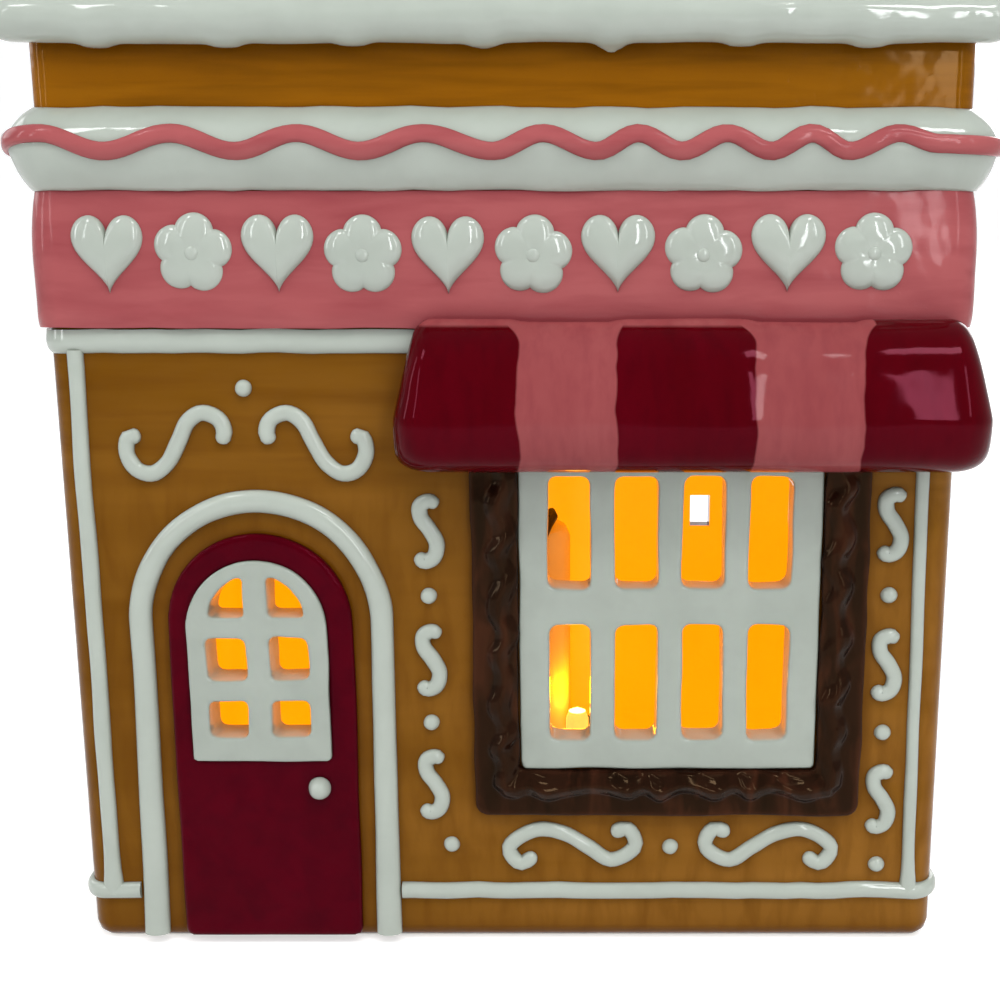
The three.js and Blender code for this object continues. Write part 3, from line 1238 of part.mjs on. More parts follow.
function cellGeometry(deg) {
  const r = CELL_R;
  const z = CELL_Z;
  const nub = CELL_TOP - CELL_NUB;
  const profile = [
    [0, z], [r - CELL_EDGE, z], [r, z + CELL_EDGE], [r, nub - CELL_EDGE], [r - CELL_EDGE, nub],
    [CELL_NUB_R, nub], [CELL_NUB_R, CELL_TOP], [0, CELL_TOP],
  ];
  const [x, y] = polar(CELL_RING, deg);
  return latheSolid(profile, 14).translate(x, y, 0);
}

// Round board under the tube's top with two contact pins that meet the carrier
function controlBoardGeometry() {
  const parts = [rod(BORE_R - SEAT, CONTROL_Z, CONTROL_Z + BOARD_THICK, 20)];
  const pinFoot = CARRIER_TOP + DISC_THICK + SEAT;
  for (const x of [-PIN_X, PIN_X]) parts.push(rod(PIN_R, pinFoot, CONTROL_Z + LAP, 10, x, 0));
  const { x0, x1, y0, y1, height } = CHIP;
  const top = CONTROL_Z + BOARD_THICK;
  parts.push(box(x0, x1, y0, y1, top - LAP, top + height));
  return union(parts);
}

function switchBodyGeometry() {
  const [, y] = polar(SWITCH_RING, SWITCH_DEG);
  const z0 = PLATE_TOP;
  const [halfL, halfW] = [SWITCH_LENGTH / 2, SWITCH_WIDTH / 2];
  const body = box(-halfL, halfL, y - halfW, y + halfW, z0, z0 + SWITCH_HEIGHT);
  const wide = KNOB_WIDTH / 2 + SWITCH_BITE;
  return cut(body, [box(-SLIDE_HALF, SLIDE_HALF, y - wide, y + wide, z0 - PAST, z0 + KNOB_ROOM)]);
}

function switchKnobGeometry() {
  const [, y] = polar(SWITCH_RING, SWITCH_DEG);
  const x = SWITCH_TRAVEL / 2;
  const [halfL, halfW] = [KNOB_SLIDE / 2, KNOB_WIDTH / 2];
  const stem = box(x - halfL, x + halfL, y - halfW, y + halfW, KNOB_REACH, PLATE_TOP + KNOB_DEPTH);
  const { at, width, depth } = KNOB_GROOVE;
  const cutW = halfW + PAST;
  const grooves = [x - at, x + at].map((g) =>
    box(g - width / 2, g + width / 2, y - cutW, y + cutW, KNOB_REACH - PAST, KNOB_REACH + depth),
  );
  return cut(stem, grooves);
}

add(light, "battery_housing", housingGeometry(), WHITE_PLASTIC);
add(light, "base_plate", basePlateGeometry(), WHITE_PLASTIC);
add(light, "housing_gasket", gasketGeometry(), SILICONE);
screwDegs.forEach((deg, i) =>
  add(light, `plate_screw_${i + 1}`, screwGeometry(...polar(SCREW_RING, deg)), STEEL),
);
add(light, "led_board", boardRingGeometry(), GREEN_BOARD);
for (let i = 0; i < LED_COUNT; i++) {
  add(light, `led_${i + 1}`, ledGeometry(LED_FIRST_DEG + (360 * i) / LED_COUNT), LED_LENS);
}
add(light, "wire_grommet", grommetGeometry(), BLACK_RUBBER);
add(light, "led_lead", leadGeometry(), BLACK_RUBBER);
add(light, "control_board", controlBoardGeometry(), GREEN_BOARD);
add(light, "switch_body", switchBodyGeometry(), GREY_PLASTIC);
add(light, "switch_knob", switchKnobGeometry(), BLACK_RUBBER);
add(light, "battery_cap", capGeometry(), WHITE_PLASTIC);
add(light, "cap_seal", sealGeometry(), BLACK_RUBBER);
add(light, "battery_carrier", carrierGeometry(), GREY_PLASTIC);
cellDegs.forEach((deg, i) => add(light, `battery_${i + 1}`, cellGeometry(deg), CELL_WRAP));
add(light, "lower_contact", contactGeometry(LOWER_CONTACT_Z, CONTACT_RISE - CONTACT_REST), STEEL);
add(light, "upper_contact", contactGeometry(UPPER_CONTACT_Z, -TONGUE_DROP), STEEL);

export default shop;
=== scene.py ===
import json
import math
import random

import bmesh
import bpy
import numpy as np
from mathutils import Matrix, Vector, noise

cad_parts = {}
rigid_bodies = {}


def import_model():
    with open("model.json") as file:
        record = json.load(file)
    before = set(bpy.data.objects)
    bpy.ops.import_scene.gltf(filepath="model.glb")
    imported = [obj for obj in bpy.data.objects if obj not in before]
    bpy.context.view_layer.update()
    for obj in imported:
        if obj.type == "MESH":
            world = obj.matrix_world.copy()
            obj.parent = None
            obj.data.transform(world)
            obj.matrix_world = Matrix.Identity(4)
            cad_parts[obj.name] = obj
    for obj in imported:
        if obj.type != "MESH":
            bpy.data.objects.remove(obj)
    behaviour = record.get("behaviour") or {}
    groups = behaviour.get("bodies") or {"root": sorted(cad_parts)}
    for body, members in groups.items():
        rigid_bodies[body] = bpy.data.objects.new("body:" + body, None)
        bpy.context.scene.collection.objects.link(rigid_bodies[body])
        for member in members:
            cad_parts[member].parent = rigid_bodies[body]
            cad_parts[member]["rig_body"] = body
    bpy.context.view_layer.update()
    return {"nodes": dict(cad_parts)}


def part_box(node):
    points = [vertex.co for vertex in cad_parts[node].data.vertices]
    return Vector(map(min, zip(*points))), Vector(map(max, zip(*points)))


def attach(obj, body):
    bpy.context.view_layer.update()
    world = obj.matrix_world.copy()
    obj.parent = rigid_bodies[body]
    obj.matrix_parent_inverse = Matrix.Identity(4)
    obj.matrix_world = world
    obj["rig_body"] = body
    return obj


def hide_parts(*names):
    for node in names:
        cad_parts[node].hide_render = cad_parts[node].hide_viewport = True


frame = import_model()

# Everything is measured in millimetres and scaled by MM; +Z up, the front looks along -Y
MM = 0.001
scene = bpy.context.scene
# Without a seed, the noise that moves the soft pieces would differ from run to run
noise.seed_set(1)


def add_object(name, data):
    made = bpy.data.objects.new(name, data)
    scene.collection.objects.link(made)
    return made


def span(node):
    """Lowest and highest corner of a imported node, in millimetres."""
    low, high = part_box(node)
    return Vector(low) / MM, Vector(high) / MM


shell_low, shell_high = span("shop_shell")
roof_high = span("roof")[1]
sign_low, sign_high = span("sign_band")
cornice_low, cornice_high = span("cornice_roll")
bead_low, bead_high = span("sill_bead")
awning_low, awning_high = span("awning")
lattice_low, lattice_high = span("window_lattice")
surround_low, surround_high = span("window_surround")
slab_low, slab_high = span("door_slab")
frame_low, frame_high = span("door_window_frame")
arch_low, arch_high = span("door_arch_icing")

FRONT_Y = shell_low.y
BACK_Y = shell_high.y
HALF_W = shell_high.x
MIDDLE_Y = (FRONT_Y + BACK_Y) / 2
HALF_D = (BACK_Y - FRONT_Y) / 2
WALL_TOP = shell_high.z
WALL = 5.0
CORNER_R = 4.0
FLOOR_TOP = 4.6

# Camera, from the photograph's perspective
CAMERA_PLACE = (13.1, -273.7, 129.95)
CAMERA_DOWN_DEG = 11.05
LENS = 46.08
SHIFT_X = -0.08

# Gingerbread low on the walls: heights between which its colour and its streaks change, and the
# left and right ends of its three colours, which are painted light and shade: darker low down and
# on the left, lighter to the right and higher up
LOW_SHADE_HEIGHTS = (115.0, 140.0)
LOW_STREAKS = (84.0, 92.0)
LOW_SHADE_SPREAD = (-70.0, 80.0)

# Cornice: where the pink wave turns along the front, and half its length elsewhere
CRESTS = [-55.0, -34.0, -13.0, 6.9, 22.8, 37.6, 51.7, 66.2]
TROUGHS = [-66.3, -44.3, -23.6, -1.4, 15.9, 30.1, 45.0, 58.0]
RIGHT_END = [(72.8, 147.3), (80.5, 147.0)]
CREST_Z = 149.0
TROUGH_Z = 146.1
SIDE_HALF_WAVE = 10.2
WAVE_HALF = 1.55
WAVE_PROUD = 0.95

# Awning: pink stripes, the height where it meets the wall, how round its ends are and how much
# they draw in towards the top
STRIPES = [(2.6, 19.2), (42.3, 60.9)]
AWNING_WALL_Z = 102.0
AWNING_END_R = 6.5
AWNING_TAPER = 2.8

# White lines along the base and up the corners
LINE_PROUD = 1.2
BASE_LINE = (9.0, 12.2)

# Window and door light
PANE_W = 7.5
MULLION = 4.6
INSERT_PROUD = 0.6
PANE_ROWS = [(41.1, 22.1), (70.0, 20.5)]
RIDGE_HALF = 2.3
RIDGE_WAVE = 9.0
DOOR_BAR = 4.3
DOOR_PANE_W = 7.0
DOOR_ROWS = [(4.6, 7.1), (15.6, 8.1)]
QUARTER_FOOT = 27.4
ARCH_HALF = 2.45
ARCH_PROUD = 1.8

# Scrolls and dots
STROKE = 2.9
STROKE_PROUD = 1.25
DOT_R = 1.55
DOT_PROUD = 1.3
DOT_SUNK = 0.3
S_CURVE = [
    (1.7, 4.4), (0.6, 5.5), (-1.2, 4.8), (-1.2, 2.6), (0.4, 0.2), (1.6, -2.4), (0.9, -4.9), (-0.9, -5.5),
    (-1.8, -4.0),
]
DOOR_CURVE = [
    (-6.1, 0.9), (-8.1, 1.1), (-8.8, -1.6), (-7.2, -4.7), (-4.5, -5.5), (-1.7, -3.6), (0.6, 0.4), (2.4, 3.9),
    (5.0, 5.4), (8.0, 4.1), (8.7, 1.6), (7.6, 0.1),
]
LONG_CURVE = [
    (-6.8, -1.7), (-9.8, -3.5), (-11.9, -0.3), (-6.8, 3.3), (-1.6, 2.6), (3.1, -0.2), (7.4, -2.8),
    (11.9, 0.1), (10.4, 3.5), (7.3, 2.6),
]

# Hearts and flowers on the sign
MOTIFS = 10
MOTIF_X = (-67.6, 63.2)
MOTIF_Z = 129.3
HEART_W, HEART_H, HEART_PROUD = 12.6, 13.2, 1.7
FLOWER_R, FLOWER_PROUD = 6.9, 1.5
BUD_R, BUD_PROUD = 1.5, 0.9

# Icing on the roof: its rolls and how far each drip hangs down
EAVE_R = 4.0
RAKE_R = 2.4
RIDGE_R = 3.2
ROOF_PITCH_DEG = 38
DRIP_PITCH = 21.2
DRIP_MIDDLE = -2.8
DRIP_DROPS = [1.5, 0.8, 1.4, 2.4, 3.6, 1.0, 1.6]
DRIP_SIZE = (2.9, 2.2, 3.1)
DRIP_ROOT = (6.0, 4.1, 4.2)

# Pieces of soft glaze and icing: voxel and rounds of smoothing that fuse and round them, then the
# size, amount and seed of the noise that moves their surface
SOFTNESS = {
    "roof_icing": (0.9, 5, 14.0, 0.35, 2.0),
    "window_lattice": (0.42, 5, 9.0, 0.22, 4.0),
    "window_surround": (0.36, 5, 7.0, 0.3, 6.0),
    "door_slab": (0.5, 4, 16.0, 0.25, 1.0),
    "door_window_frame": (0.36, 5, 7.0, 0.2, 9.0),
}
SEAMLESS_DEG = 180

# Light
AMBER = (1.0, 0.34, 0.002)
LED_WATTS = 0.007
LED_RADIUS = 0.003
LED_RISE = 0.004
PAPER_GLOW = 0.52
WORLD_LIGHT = 0.22
WORLD_SEEN = 0.65
LAMPS_AIM = (0.0, 0.0, 0.1)

camera_data = bpy.data.cameras.new("camera")
camera_data.lens = LENS
camera_data.sensor_width = 36
camera_data.shift_x = SHIFT_X
camera_data.clip_start = 0.01
camera_data.clip_end = 20
camera = add_object("camera", camera_data)
camera.location = [c * MM for c in CAMERA_PLACE]
camera.rotation_euler = (math.radians(90 - CAMERA_DOWN_DEG), 0, 0)
scene.camera = camera
scene.view_settings.view_transform = "Standard"


# Colours and materials

def rgb(red, green, blue):
    """A colour as it looks on screen, 0 to 255, as the linear value that shaders take."""
    def linear(c):
        c /= 255
        return c / 12.92 if c <= 0.04045 else ((c + 0.055) / 1.055) ** 2.4
    return (linear(red), linear(green), linear(blue), 1.0)


class Shader:
    """A node material with short calls for the nodes that the glazes share."""

    def __init__(self, name):
        self.material = bpy.data.materials.new(name)
        self.material.use_nodes = True
        self.tree = self.material.node_tree
        self.bsdf = self.tree.nodes["Principled BSDF"]
        self.place = self.tree.nodes.new("ShaderNodeTexCoord").outputs["Object"]

    def link(self, source, target):
        self.tree.links.new(source, target)

    def put(self, socket, value):
        if isinstance(value, bpy.types.NodeSocket):
            self.link(value, socket)
        else:
            socket.default_value = value

    def add(self, kind, **inputs):
        """A new node of a kind, with its inputs set or linked."""
        node = self.tree.nodes.new("ShaderNode" + kind)
        self.fill(node, inputs)
        return node

    def fill(self, node, inputs):
        for name, value in inputs.items():
            self.put(node.inputs[name.replace("_", " ")], value)

    def set(self, **inputs):
        self.fill(self.bsdf, inputs)

    def axis(self, letter, vector=None):
        """One coordinate of the place, or of another vector."""
        return self.add("SeparateXYZ", Vector=self.place if vector is None else vector).outputs[letter]

    def noise(self, size_mm, detail=3.0, stretch=(1, 1, 1), distortion=0.0):
        place = self.add("Mapping", Scale=stretch, Vector=self.place).outputs["Vector"]
        scale = 1 / (size_mm * MM)
        node = self.add("TexNoise", Scale=scale, Detail=detail, Distortion=distortion, Vector=place)
        return node.outputs["Fac"]

    def ramp(self, value, low, high, start=0.0, end=1.0):
        node = self.add("MapRange", Value=value, From_Min=low, From_Max=high, To_Min=start, To_Max=end)
        return node.outputs["Result"]

    def maths(self, operation, a, b):
        node = self.add("Math")
        node.operation = operation
        self.put(node.inputs[0], a)
        self.put(node.inputs[1], b)
        return node.outputs[0]

    def mix(self, factor, a, b, kind="RGBA"):
        """A colour between a and b, or a number where kind is FLOAT."""
        node = self.add("Mix")
        node.data_type = kind
        first, result = (6, 2) if kind == "RGBA" else (2, 0)
        for k, value in ((0, factor), (first, a), (first + 1, b)):
            self.put(node.inputs[k], value)
        return node.outputs[result]

    def over(self, value, low, high, a, b, share=1.0):
        """Colour a, with b taking up to its share of it where value goes from low to high."""
        return self.mix(self.ramp(value, low, high, 0.0, share), a, b)

    def hollow(self, distance_mm, inside=False):
        """How open a point is: 1 in the open, towards 0 in corners, or at thin edges when inside."""
        node = self.add("AmbientOcclusion", Distance=distance_mm * MM)
        node.samples = 6
        node.inside = inside
        node.only_local = inside
        return node.outputs["AO"]

    def bump(self, height, depth_mm, normal=None):
        node = self.add("Bump", Strength=1.0, Distance=depth_mm * MM, Height=height)
        if normal is not None:
            self.link(normal, node.inputs["Normal"])
        return node.outputs["Normal"]


# How strongly the white icing mirrors, and the tint of what the coloured glazes mirror
ICING_SPECULAR = 0.5
BROWN_TINT = (1.0, 0.66, 0.35, 1.0)
RED_TINT = (1.0, 0.22, 0.38, 1.0)
PINK_TINT = (1.0, 0.8, 0.8, 1.0)
NO_TINT = (1.0, 1.0, 1.0, 1.0)


def glaze(name, body, pool_and_shade_colour, pale, streak=(1, 1, 1), rough=(0.07, 0.16), pool_and_shade_mm=4.0, pool_and_shade_share=0.85,
          brushed=0.4, thin_and_highlit=None, specular=ICING_SPECULAR, tint=NO_TINT, low=None):
    """Glossy coloured glaze: brush streaks, darker in corners and between parts, partly where glaze pools
    and partly as painted shade, and lighter on convex edges, partly thin glaze and partly a painted
    highlight. low has three colours, left to right, and the streaks' stretch, which take over towards
    the ground; these colours are painted light and shade."""
    s = Shader(name)
    cloud = s.noise(18, 3.0, streak, 0.5)
    brush = s.noise(4.0, 4.0, streak, 0.3)
    if low is not None:
        low_shaded_left, low_half_lit, low_lit_right, low_streak = low
        above = s.ramp(s.axis("Z"), LOW_STREAKS[0] * MM, LOW_STREAKS[1] * MM)
        brush = s.mix(above, s.noise(4.0, 4.0, low_streak, 0.4), brush, "FLOAT")
        height = s.ramp(s.axis("Z"), LOW_SHADE_HEIGHTS[0] * MM, LOW_SHADE_HEIGHTS[1] * MM)
        rightward = s.ramp(s.axis("X"), LOW_SHADE_SPREAD[0] * MM, LOW_SHADE_SPREAD[1] * MM)
        # Painted light and shade: darker low down and on the left, lighter to the right and above
        body = s.mix(height, s.mix(rightward, low_shaded_left, low_half_lit), body)
        pale = s.mix(height, s.mix(rightward, low_half_lit, low_lit_right), pale)
    colour = s.over(cloud, 0.32, 0.7, body, pale)
    colour = s.over(brush, 0.42, 0.72, colour, pool_and_shade_colour, brushed)
    # Darker in corners, creases and between parts: partly pooled glaze, partly painted shade
    colour = s.over(s.hollow(pool_and_shade_mm), 0.95, 0.45, colour, pool_and_shade_colour, pool_and_shade_share)
    if thin_and_highlit is not None:
        colour = s.over(s.noise(5.0, 2.0, streak, 0.8), 0.5, 0.7, colour, thin_and_highlit, 0.4)
        # Lighter on convex edges: partly thin glaze, partly a painted highlight
        colour = s.over(s.hollow(1.6, inside=True), 0.85, 0.4, colour, thin_and_highlit, 0.9)
    lumps = s.bump(s.noise(9.0, 2.0), 0.3)
    pits = s.bump(s.ramp(s.noise(0.9, 2.0), 0.7, 0.82), 0.015, lumps)
    s.set(Base_Color=colour, Roughness=s.ramp(brush, 0.3, 0.8, *rough), Normal=pits)
    s.set(Specular_IOR_Level=specular, Specular_Tint=tint)
    return s.material


# The low colours, darker on the left and lighter to the right, are painted light and shade
gingerbread = glaze(
    "gingerbread_glaze", rgb(158, 97, 9), rgb(94, 53, 2), rgb(166, 106, 16), streak=(0.12, 0.5, 1.4),
    pool_and_shade_mm=7.0, brushed=0.5, specular=0.13, tint=BROWN_TINT,
    low=(rgb(103, 63, 3), rgb(126, 82, 19), rgb(143, 96, 36), (1.2, 0.9, 0.3))
)
icing = glaze(
    "icing_glaze", rgb(170, 178, 168), rgb(126, 132, 120), rgb(176, 184, 174),
    rough=(0.06, 0.11), pool_and_shade_mm=2.0, pool_and_shade_share=0.6, brushed=0.05
)
# A darker copy of the white icing for the window and door frames: painted shade
shaded_icing = glaze(
    "shaded_frame_icing_glaze", rgb(156, 164, 154), rgb(116, 120, 109), rgb(163, 171, 161),
    rough=(0.06, 0.11), pool_and_shade_mm=1.8, brushed=0.08
)
pink = glaze(
    "pink_glaze", rgb(163, 82, 84), rgb(126, 42, 52), rgb(171, 92, 93), streak=(0.2, 0.8, 1.1),
    pool_and_shade_share=0.7, specular=0.14, tint=PINK_TINT
)
dark_red = glaze(
    "dark_red_glaze", rgb(72, 0, 11), rgb(48, 0, 8), rgb(79, 0, 14), rough=(0.05, 0.1), pool_and_shade_mm=2.5,
    specular=0.1, tint=RED_TINT
)
chocolate = glaze(
    "chocolate_glaze", rgb(27, 12, 7), rgb(8, 4, 2), rgb(38, 19, 11), streak=(1.2, 1.0, 0.3),
    rough=(0.06, 0.14), pool_and_shade_mm=4.5, brushed=0.7, thin_and_highlit=rgb(80, 42, 27), specular=0.1, tint=BROWN_TINT
)


def awning_material():
    """Dark red and pink stripes with edges as uneven as a brush leaves them. They spread at the
    crown, and right under the sign all is pink but the right end."""
    s = Shader("awning_glaze")
    wobble = s.ramp(s.noise(11.0, 2.0, (0.2, 1, 1)), 0.25, 0.75, -0.8 * MM, 0.8 * MM)
    x = s.maths("ADD", s.axis("X"), wobble)
    top = awning_high.z
    crown = s.ramp(s.axis("Z"), (top - 4.5) * MM, (top - 0.4) * MM)
    spread = s.maths("MULTIPLY", s.maths("POWER", crown, 3.0), 2.2 * MM)
    stripe = s.ramp(s.axis("Z"), (top - 0.9) * MM, (top - 0.4) * MM)
    stripe = s.maths("MULTIPLY", stripe, s.ramp(x, 59.5 * MM, 61.5 * MM, 1.0, 0.0))
    for left, right in STRIPES:
        from_left = s.maths("ADD", s.maths("SUBTRACT", x, left * MM), spread)
        from_right = s.maths("ADD", s.maths("SUBTRACT", right * MM, x), spread)
        near = s.maths("MINIMUM", from_left, from_right)
        stripe = s.maths("MAXIMUM", stripe, s.ramp(near, 0.0, 0.35 * MM))
    cloud = s.noise(14, 4.0, (1.4, 1, 0.5), 0.6)
    brush = s.noise(3.0, 5.0, (1.4, 1, 0.4), 0.2)
    red = s.over(cloud, 0.35, 0.72, rgb(72, 0, 5), rgb(80, 0, 9))
    red = s.over(brush, 0.45, 0.75, red, rgb(56, 0, 5), 0.4)
    rose = s.over(cloud, 0.35, 0.72, rgb(139, 64, 66), rgb(148, 73, 74))
    rose = s.over(brush, 0.42, 0.72, rose, rgb(124, 50, 56), 0.45)
    # Rose darker in corners and where the awning meets the wall: partly pooled glaze, partly painted shade
    rose = s.over(s.hollow(4.0), 0.9, 0.35, rose, rgb(120, 40, 52), 0.85)
    s.set(Base_Color=s.mix(stripe, red, rose), Roughness=s.ramp(brush, 0.3, 0.8, 0.05, 0.1))
    s.set(Normal=s.bump(s.noise(12.0, 2.0), 0.3), Specular_IOR_Level=0.13)
    s.set(Specular_Tint=s.mix(stripe, RED_TINT, PINK_TINT))
    return s.material


def lining_material():
    """Unglazed inside of the cavity. Its yellow colour and its amber glow are painted lamplight, and the
    lamps add real light to it.
    """
    s = Shader("amber_glow_lining")
    s.set(Base_Color=s.over(s.noise(30, 3.0), 0.3, 0.7, rgb(232, 214, 100), rgb(238, 224, 122)))
    s.set(Roughness=0.7, Specular_IOR_Level=0.1, Normal=s.bump(s.noise(2.5, 3.0), 0.12))
    # Painted amber glow: the lining is no lamp
    s.set(Emission_Color=(1.0, 0.32, 0.0005, 1.0), Emission_Strength=0.41)
    return s.material


def clay_material():
    s = Shader("bare_clay")
    grain = s.noise(1.2, 4.0)
    colour = s.over(grain, 0.35, 0.7, rgb(222, 208, 184), rgb(200, 182, 154))
    colour = s.over(s.noise(22, 3.0), 0.5, 0.75, colour, rgb(182, 158, 126), 0.5)
    s.set(Base_Color=colour, Roughness=0.85, Specular_IOR_Level=0.2, Normal=s.bump(grain, 0.08))
    return s.material


def plastic(name, body, other, roughness, specular=0.45):
    s = Shader(name)
    s.set(Base_Color=s.over(s.noise(11, 3.0), 0.35, 0.7, body, other))
    s.set(Roughness=s.ramp(s.noise(2.4, 3.0), 0.3, 0.75, roughness, roughness + 0.1))
    s.set(Specular_IOR_Level=specular, Normal=s.bump(s.noise(0.5, 2.0), 0.015))
    return s.material


def steel_material():
    s = Shader("brushed_steel")
    s.set(Metallic=1.0, Base_Color=s.mix(s.noise(5, 3.0), rgb(196, 196, 198), rgb(150, 150, 154)))
    s.set(Roughness=s.ramp(s.noise(0.6, 3.0, (1, 6, 1)), 0.3, 0.7, 0.22, 0.42))
    return s.material


def board_material():
    s = Shader("circuit_board_green")
    weave = s.noise(0.7, 2.0, (4, 1, 1))
    s.set(Base_Color=s.over(weave, 0.4, 0.6, rgb(24, 84, 46), rgb(34, 104, 58)))
    s.set(Roughness=s.ramp(weave, 0.3, 0.7, 0.3, 0.4), Normal=s.bump(weave, 0.02))
    return s.material


def lens_material():
    """A lit lens, brightest on its upper side."""
    s = Shader("warm_led_lens")
    glow = s.over(s.noise(1.4, 2.0), 0.4, 0.7, (1.0, 0.45, 0.04, 1), (1.0, 0.55, 0.08, 1))
    upward = s.axis("Z", s.add("NewGeometry").outputs["Normal"])
    s.set(Base_Color=glow, Roughness=0.12, Emission_Color=(1.0, 0.6, 0.12, 1.0))
    s.set(Emission_Strength=s.ramp(upward, 0.55, 0.9, 0.9, 9.0))
    return s.material


def wrap_material():
    """Shrink sleeve of a cell: dark with a band of copper colour at the raised end."""
    s = Shader("cell_sleeve")
    band_edge = s.ramp(s.axis("Z"), 39.8 * MM, 40.1 * MM)
    scuff = s.noise(4, 4.0)
    dark = s.over(scuff, 0.4, 0.7, rgb(34, 37, 42), rgb(46, 50, 55))
    copper = s.over(scuff, 0.4, 0.7, rgb(176, 112, 52), rgb(160, 98, 44))
    s.set(Base_Color=s.mix(band_edge, dark, copper), Metallic=s.ramp(band_edge, 0, 1, 0.0, 0.5))
    s.set(Roughness=s.ramp(scuff, 0.3, 0.7, 0.22, 0.34), Normal=s.bump(scuff, 0.02))
    return s.material


awning_glaze = awning_material()
lining = lining_material()
clay = clay_material()
white_plastic = plastic("frosted_white_plastic", rgb(228, 224, 212), rgb(220, 215, 202), 0.4)
warm_plastic = plastic("frosted_ivory_plastic", rgb(214, 206, 150), rgb(206, 197, 140), 0.35)
grey_plastic = plastic("grey_plastic", rgb(150, 152, 150), rgb(138, 140, 140), 0.42)
black_plastic = plastic("black_plastic", rgb(26, 26, 28), rgb(34, 34, 36), 0.35)
black_rubber = plastic("black_rubber", rgb(24, 24, 25), rgb(32, 31, 31), 0.62, specular=0.3)
silicone = plastic("milky_silicone", rgb(210, 208, 200), rgb(198, 196, 188), 0.5)
steel = steel_material()
board_green = board_material()
led_lens = lens_material()
cell_sleeve = wrap_material()


# Mesh helpers

def weld(work):
    bmesh.ops.remove_doubles(work, verts=work.verts, dist=1e-6)


def flatten(work):
    """Joins faces that lie in one plane."""
    bmesh.ops.dissolve_limit(
        work, angle_limit=math.radians(0.5), verts=work.verts, edges=work.edges, delimit={"NORMAL"}
    )


def face_out(work):
    bmesh.ops.recalc_face_normals(work, faces=work.faces)


def rework(mesh, *changes):
    """Changes a mesh in place."""
    work = bmesh.new()
    work.from_mesh(mesh)
    for change in changes:
        change(work)
    work.to_mesh(mesh)
    work.free()


def finish_piece(piece, material, node, sharp_deg):
    """Normals, shading, material, slot, the body it rides on and the node it stands for."""
    mesh = piece.data
    rework(mesh, face_out)
    mesh.shade_smooth()
    mesh.set_sharp_from_angle(angle=math.radians(sharp_deg))
    mesh.materials.clear()
    mesh.materials.append(material)
    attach(piece, frame["nodes"][node]["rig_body"] if node else "shop")
    if node:
        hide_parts(node)


def mesh_object(name, points, faces):
    mesh = bpy.data.meshes.new(name)
    mesh.from_pydata([[c * MM for c in p] for p in points], [], faces)
    mesh.update()
    return add_object(name, mesh)


def sculpt(node, made, material, sharp_deg=60):
    """The piece that stands for a node, made of (points, faces)."""
    finish_piece(mesh_object(f"{node}_piece", *made), material, node, sharp_deg)


def skin(rings, closed_path=False):
    """Points and faces over a row of closed rings of equal length, with a cap at each open end."""
    count = len(rings[0])
    points = [p for ring in rings for p in ring]
    faces = []
    for i in range(len(rings) if closed_path else len(rings) - 1):
        a = i * count
        b = ((i + 1) % len(rings)) * count
        for j in range(count):
            k = (j + 1) % count
            faces.append((a + j, a + k, b + k, b + j))
    if not closed_path:
        faces.append(tuple(reversed(range(count))))
        faces.append(tuple(range(len(points) - count, len(points))))
    return points, faces


def join_parts(parts):
    """Several (points, faces) as one."""
    points, faces = [], []
    for more_points, more_faces in parts:
        base = len(points)
        points.extend(more_points)
        faces.extend(tuple(i + base for i in face) for face in more_faces)
    return points, faces


def settle(piece):
    """Applies a piece's modifiers to its mesh."""
    graph = bpy.context.evaluated_depsgraph_get()
    made = bpy.data.meshes.new_from_object(
        piece.evaluated_get(graph), preserve_all_data_layers=True, depsgraph=graph
    )
    old = piece.data
    piece.modifiers.clear()
    piece.data = made
    bpy.data.meshes.remove(old)


def finish_soft(piece, material, node):
    """Fuses the piece's overlapping solids, rounds their edges and moves the surface by soft
    noise, as hand-laid glaze and slip do."""
    voxel_mm, rounds, noise_mm, amount_mm, seed = SOFTNESS[node]
    remesh = piece.modifiers.new("fuse", "REMESH")
    remesh.mode = "VOXEL"
    remesh.voxel_size = voxel_mm * MM
    smooth = piece.modifiers.new("round", "SMOOTH")
    smooth.factor = 0.5
    smooth.iterations = rounds
    settle(piece)
    for v in piece.data.vertices:
        at = v.co / (noise_mm * MM) + Vector((seed, seed * 1.7, seed * 0.3))
        v.co += noise.noise_vector(at) * amount_mm * MM
    finish_piece(piece, material, node, SEAMLESS_DEG)


def lerp(t, a, b, p, q):
    """The value at t of the straight line that is p at a and q at b."""
    return (b - t) / (b - a) * p + (t - a) / (b - a) * q


def runs_along(points):
    """How far along a line of points each of them is."""
    return np.concatenate([[0], np.cumsum(np.linalg.norm(np.diff(points, axis=0), axis=1))])


def curve_through(points, samples):
    """Evenly spaced points on a smooth open curve through the given ones."""
    control = np.array(points, float)
    before, after = 2 * control[0] - control[1], 2 * control[-1] - control[-2]
    control = np.array([before, *control, after])
    dense = []
    for p0, p1, p2, p3 in zip(control, control[1:], control[2:], control[3:]):
        knots = [0.0]
        for a, b in ((p0, p1), (p1, p2), (p2, p3)):
            knots.append(knots[-1] + max(np.linalg.norm(b - a) ** 0.5, 1e-6))
        k0, k1, k2, k3 = knots
        for t in np.linspace(k1, k2, 24, endpoint=False):
            a1 = lerp(t, k0, k1, p0, p1)
            a2 = lerp(t, k1, k2, p1, p2)
            a3 = lerp(t, k2, k3, p2, p3)
            dense.append(lerp(t, k1, k2, lerp(t, k0, k2, a1, a2), lerp(t, k1, k3, a2, a3)))
    dense = np.array(dense + [control[-2]])
    run = runs_along(dense)
    at = np.linspace(0, run[-1], samples)
    return np.stack([np.interp(at, run, dense[:, k]) for k in (0, 1)], axis=1)


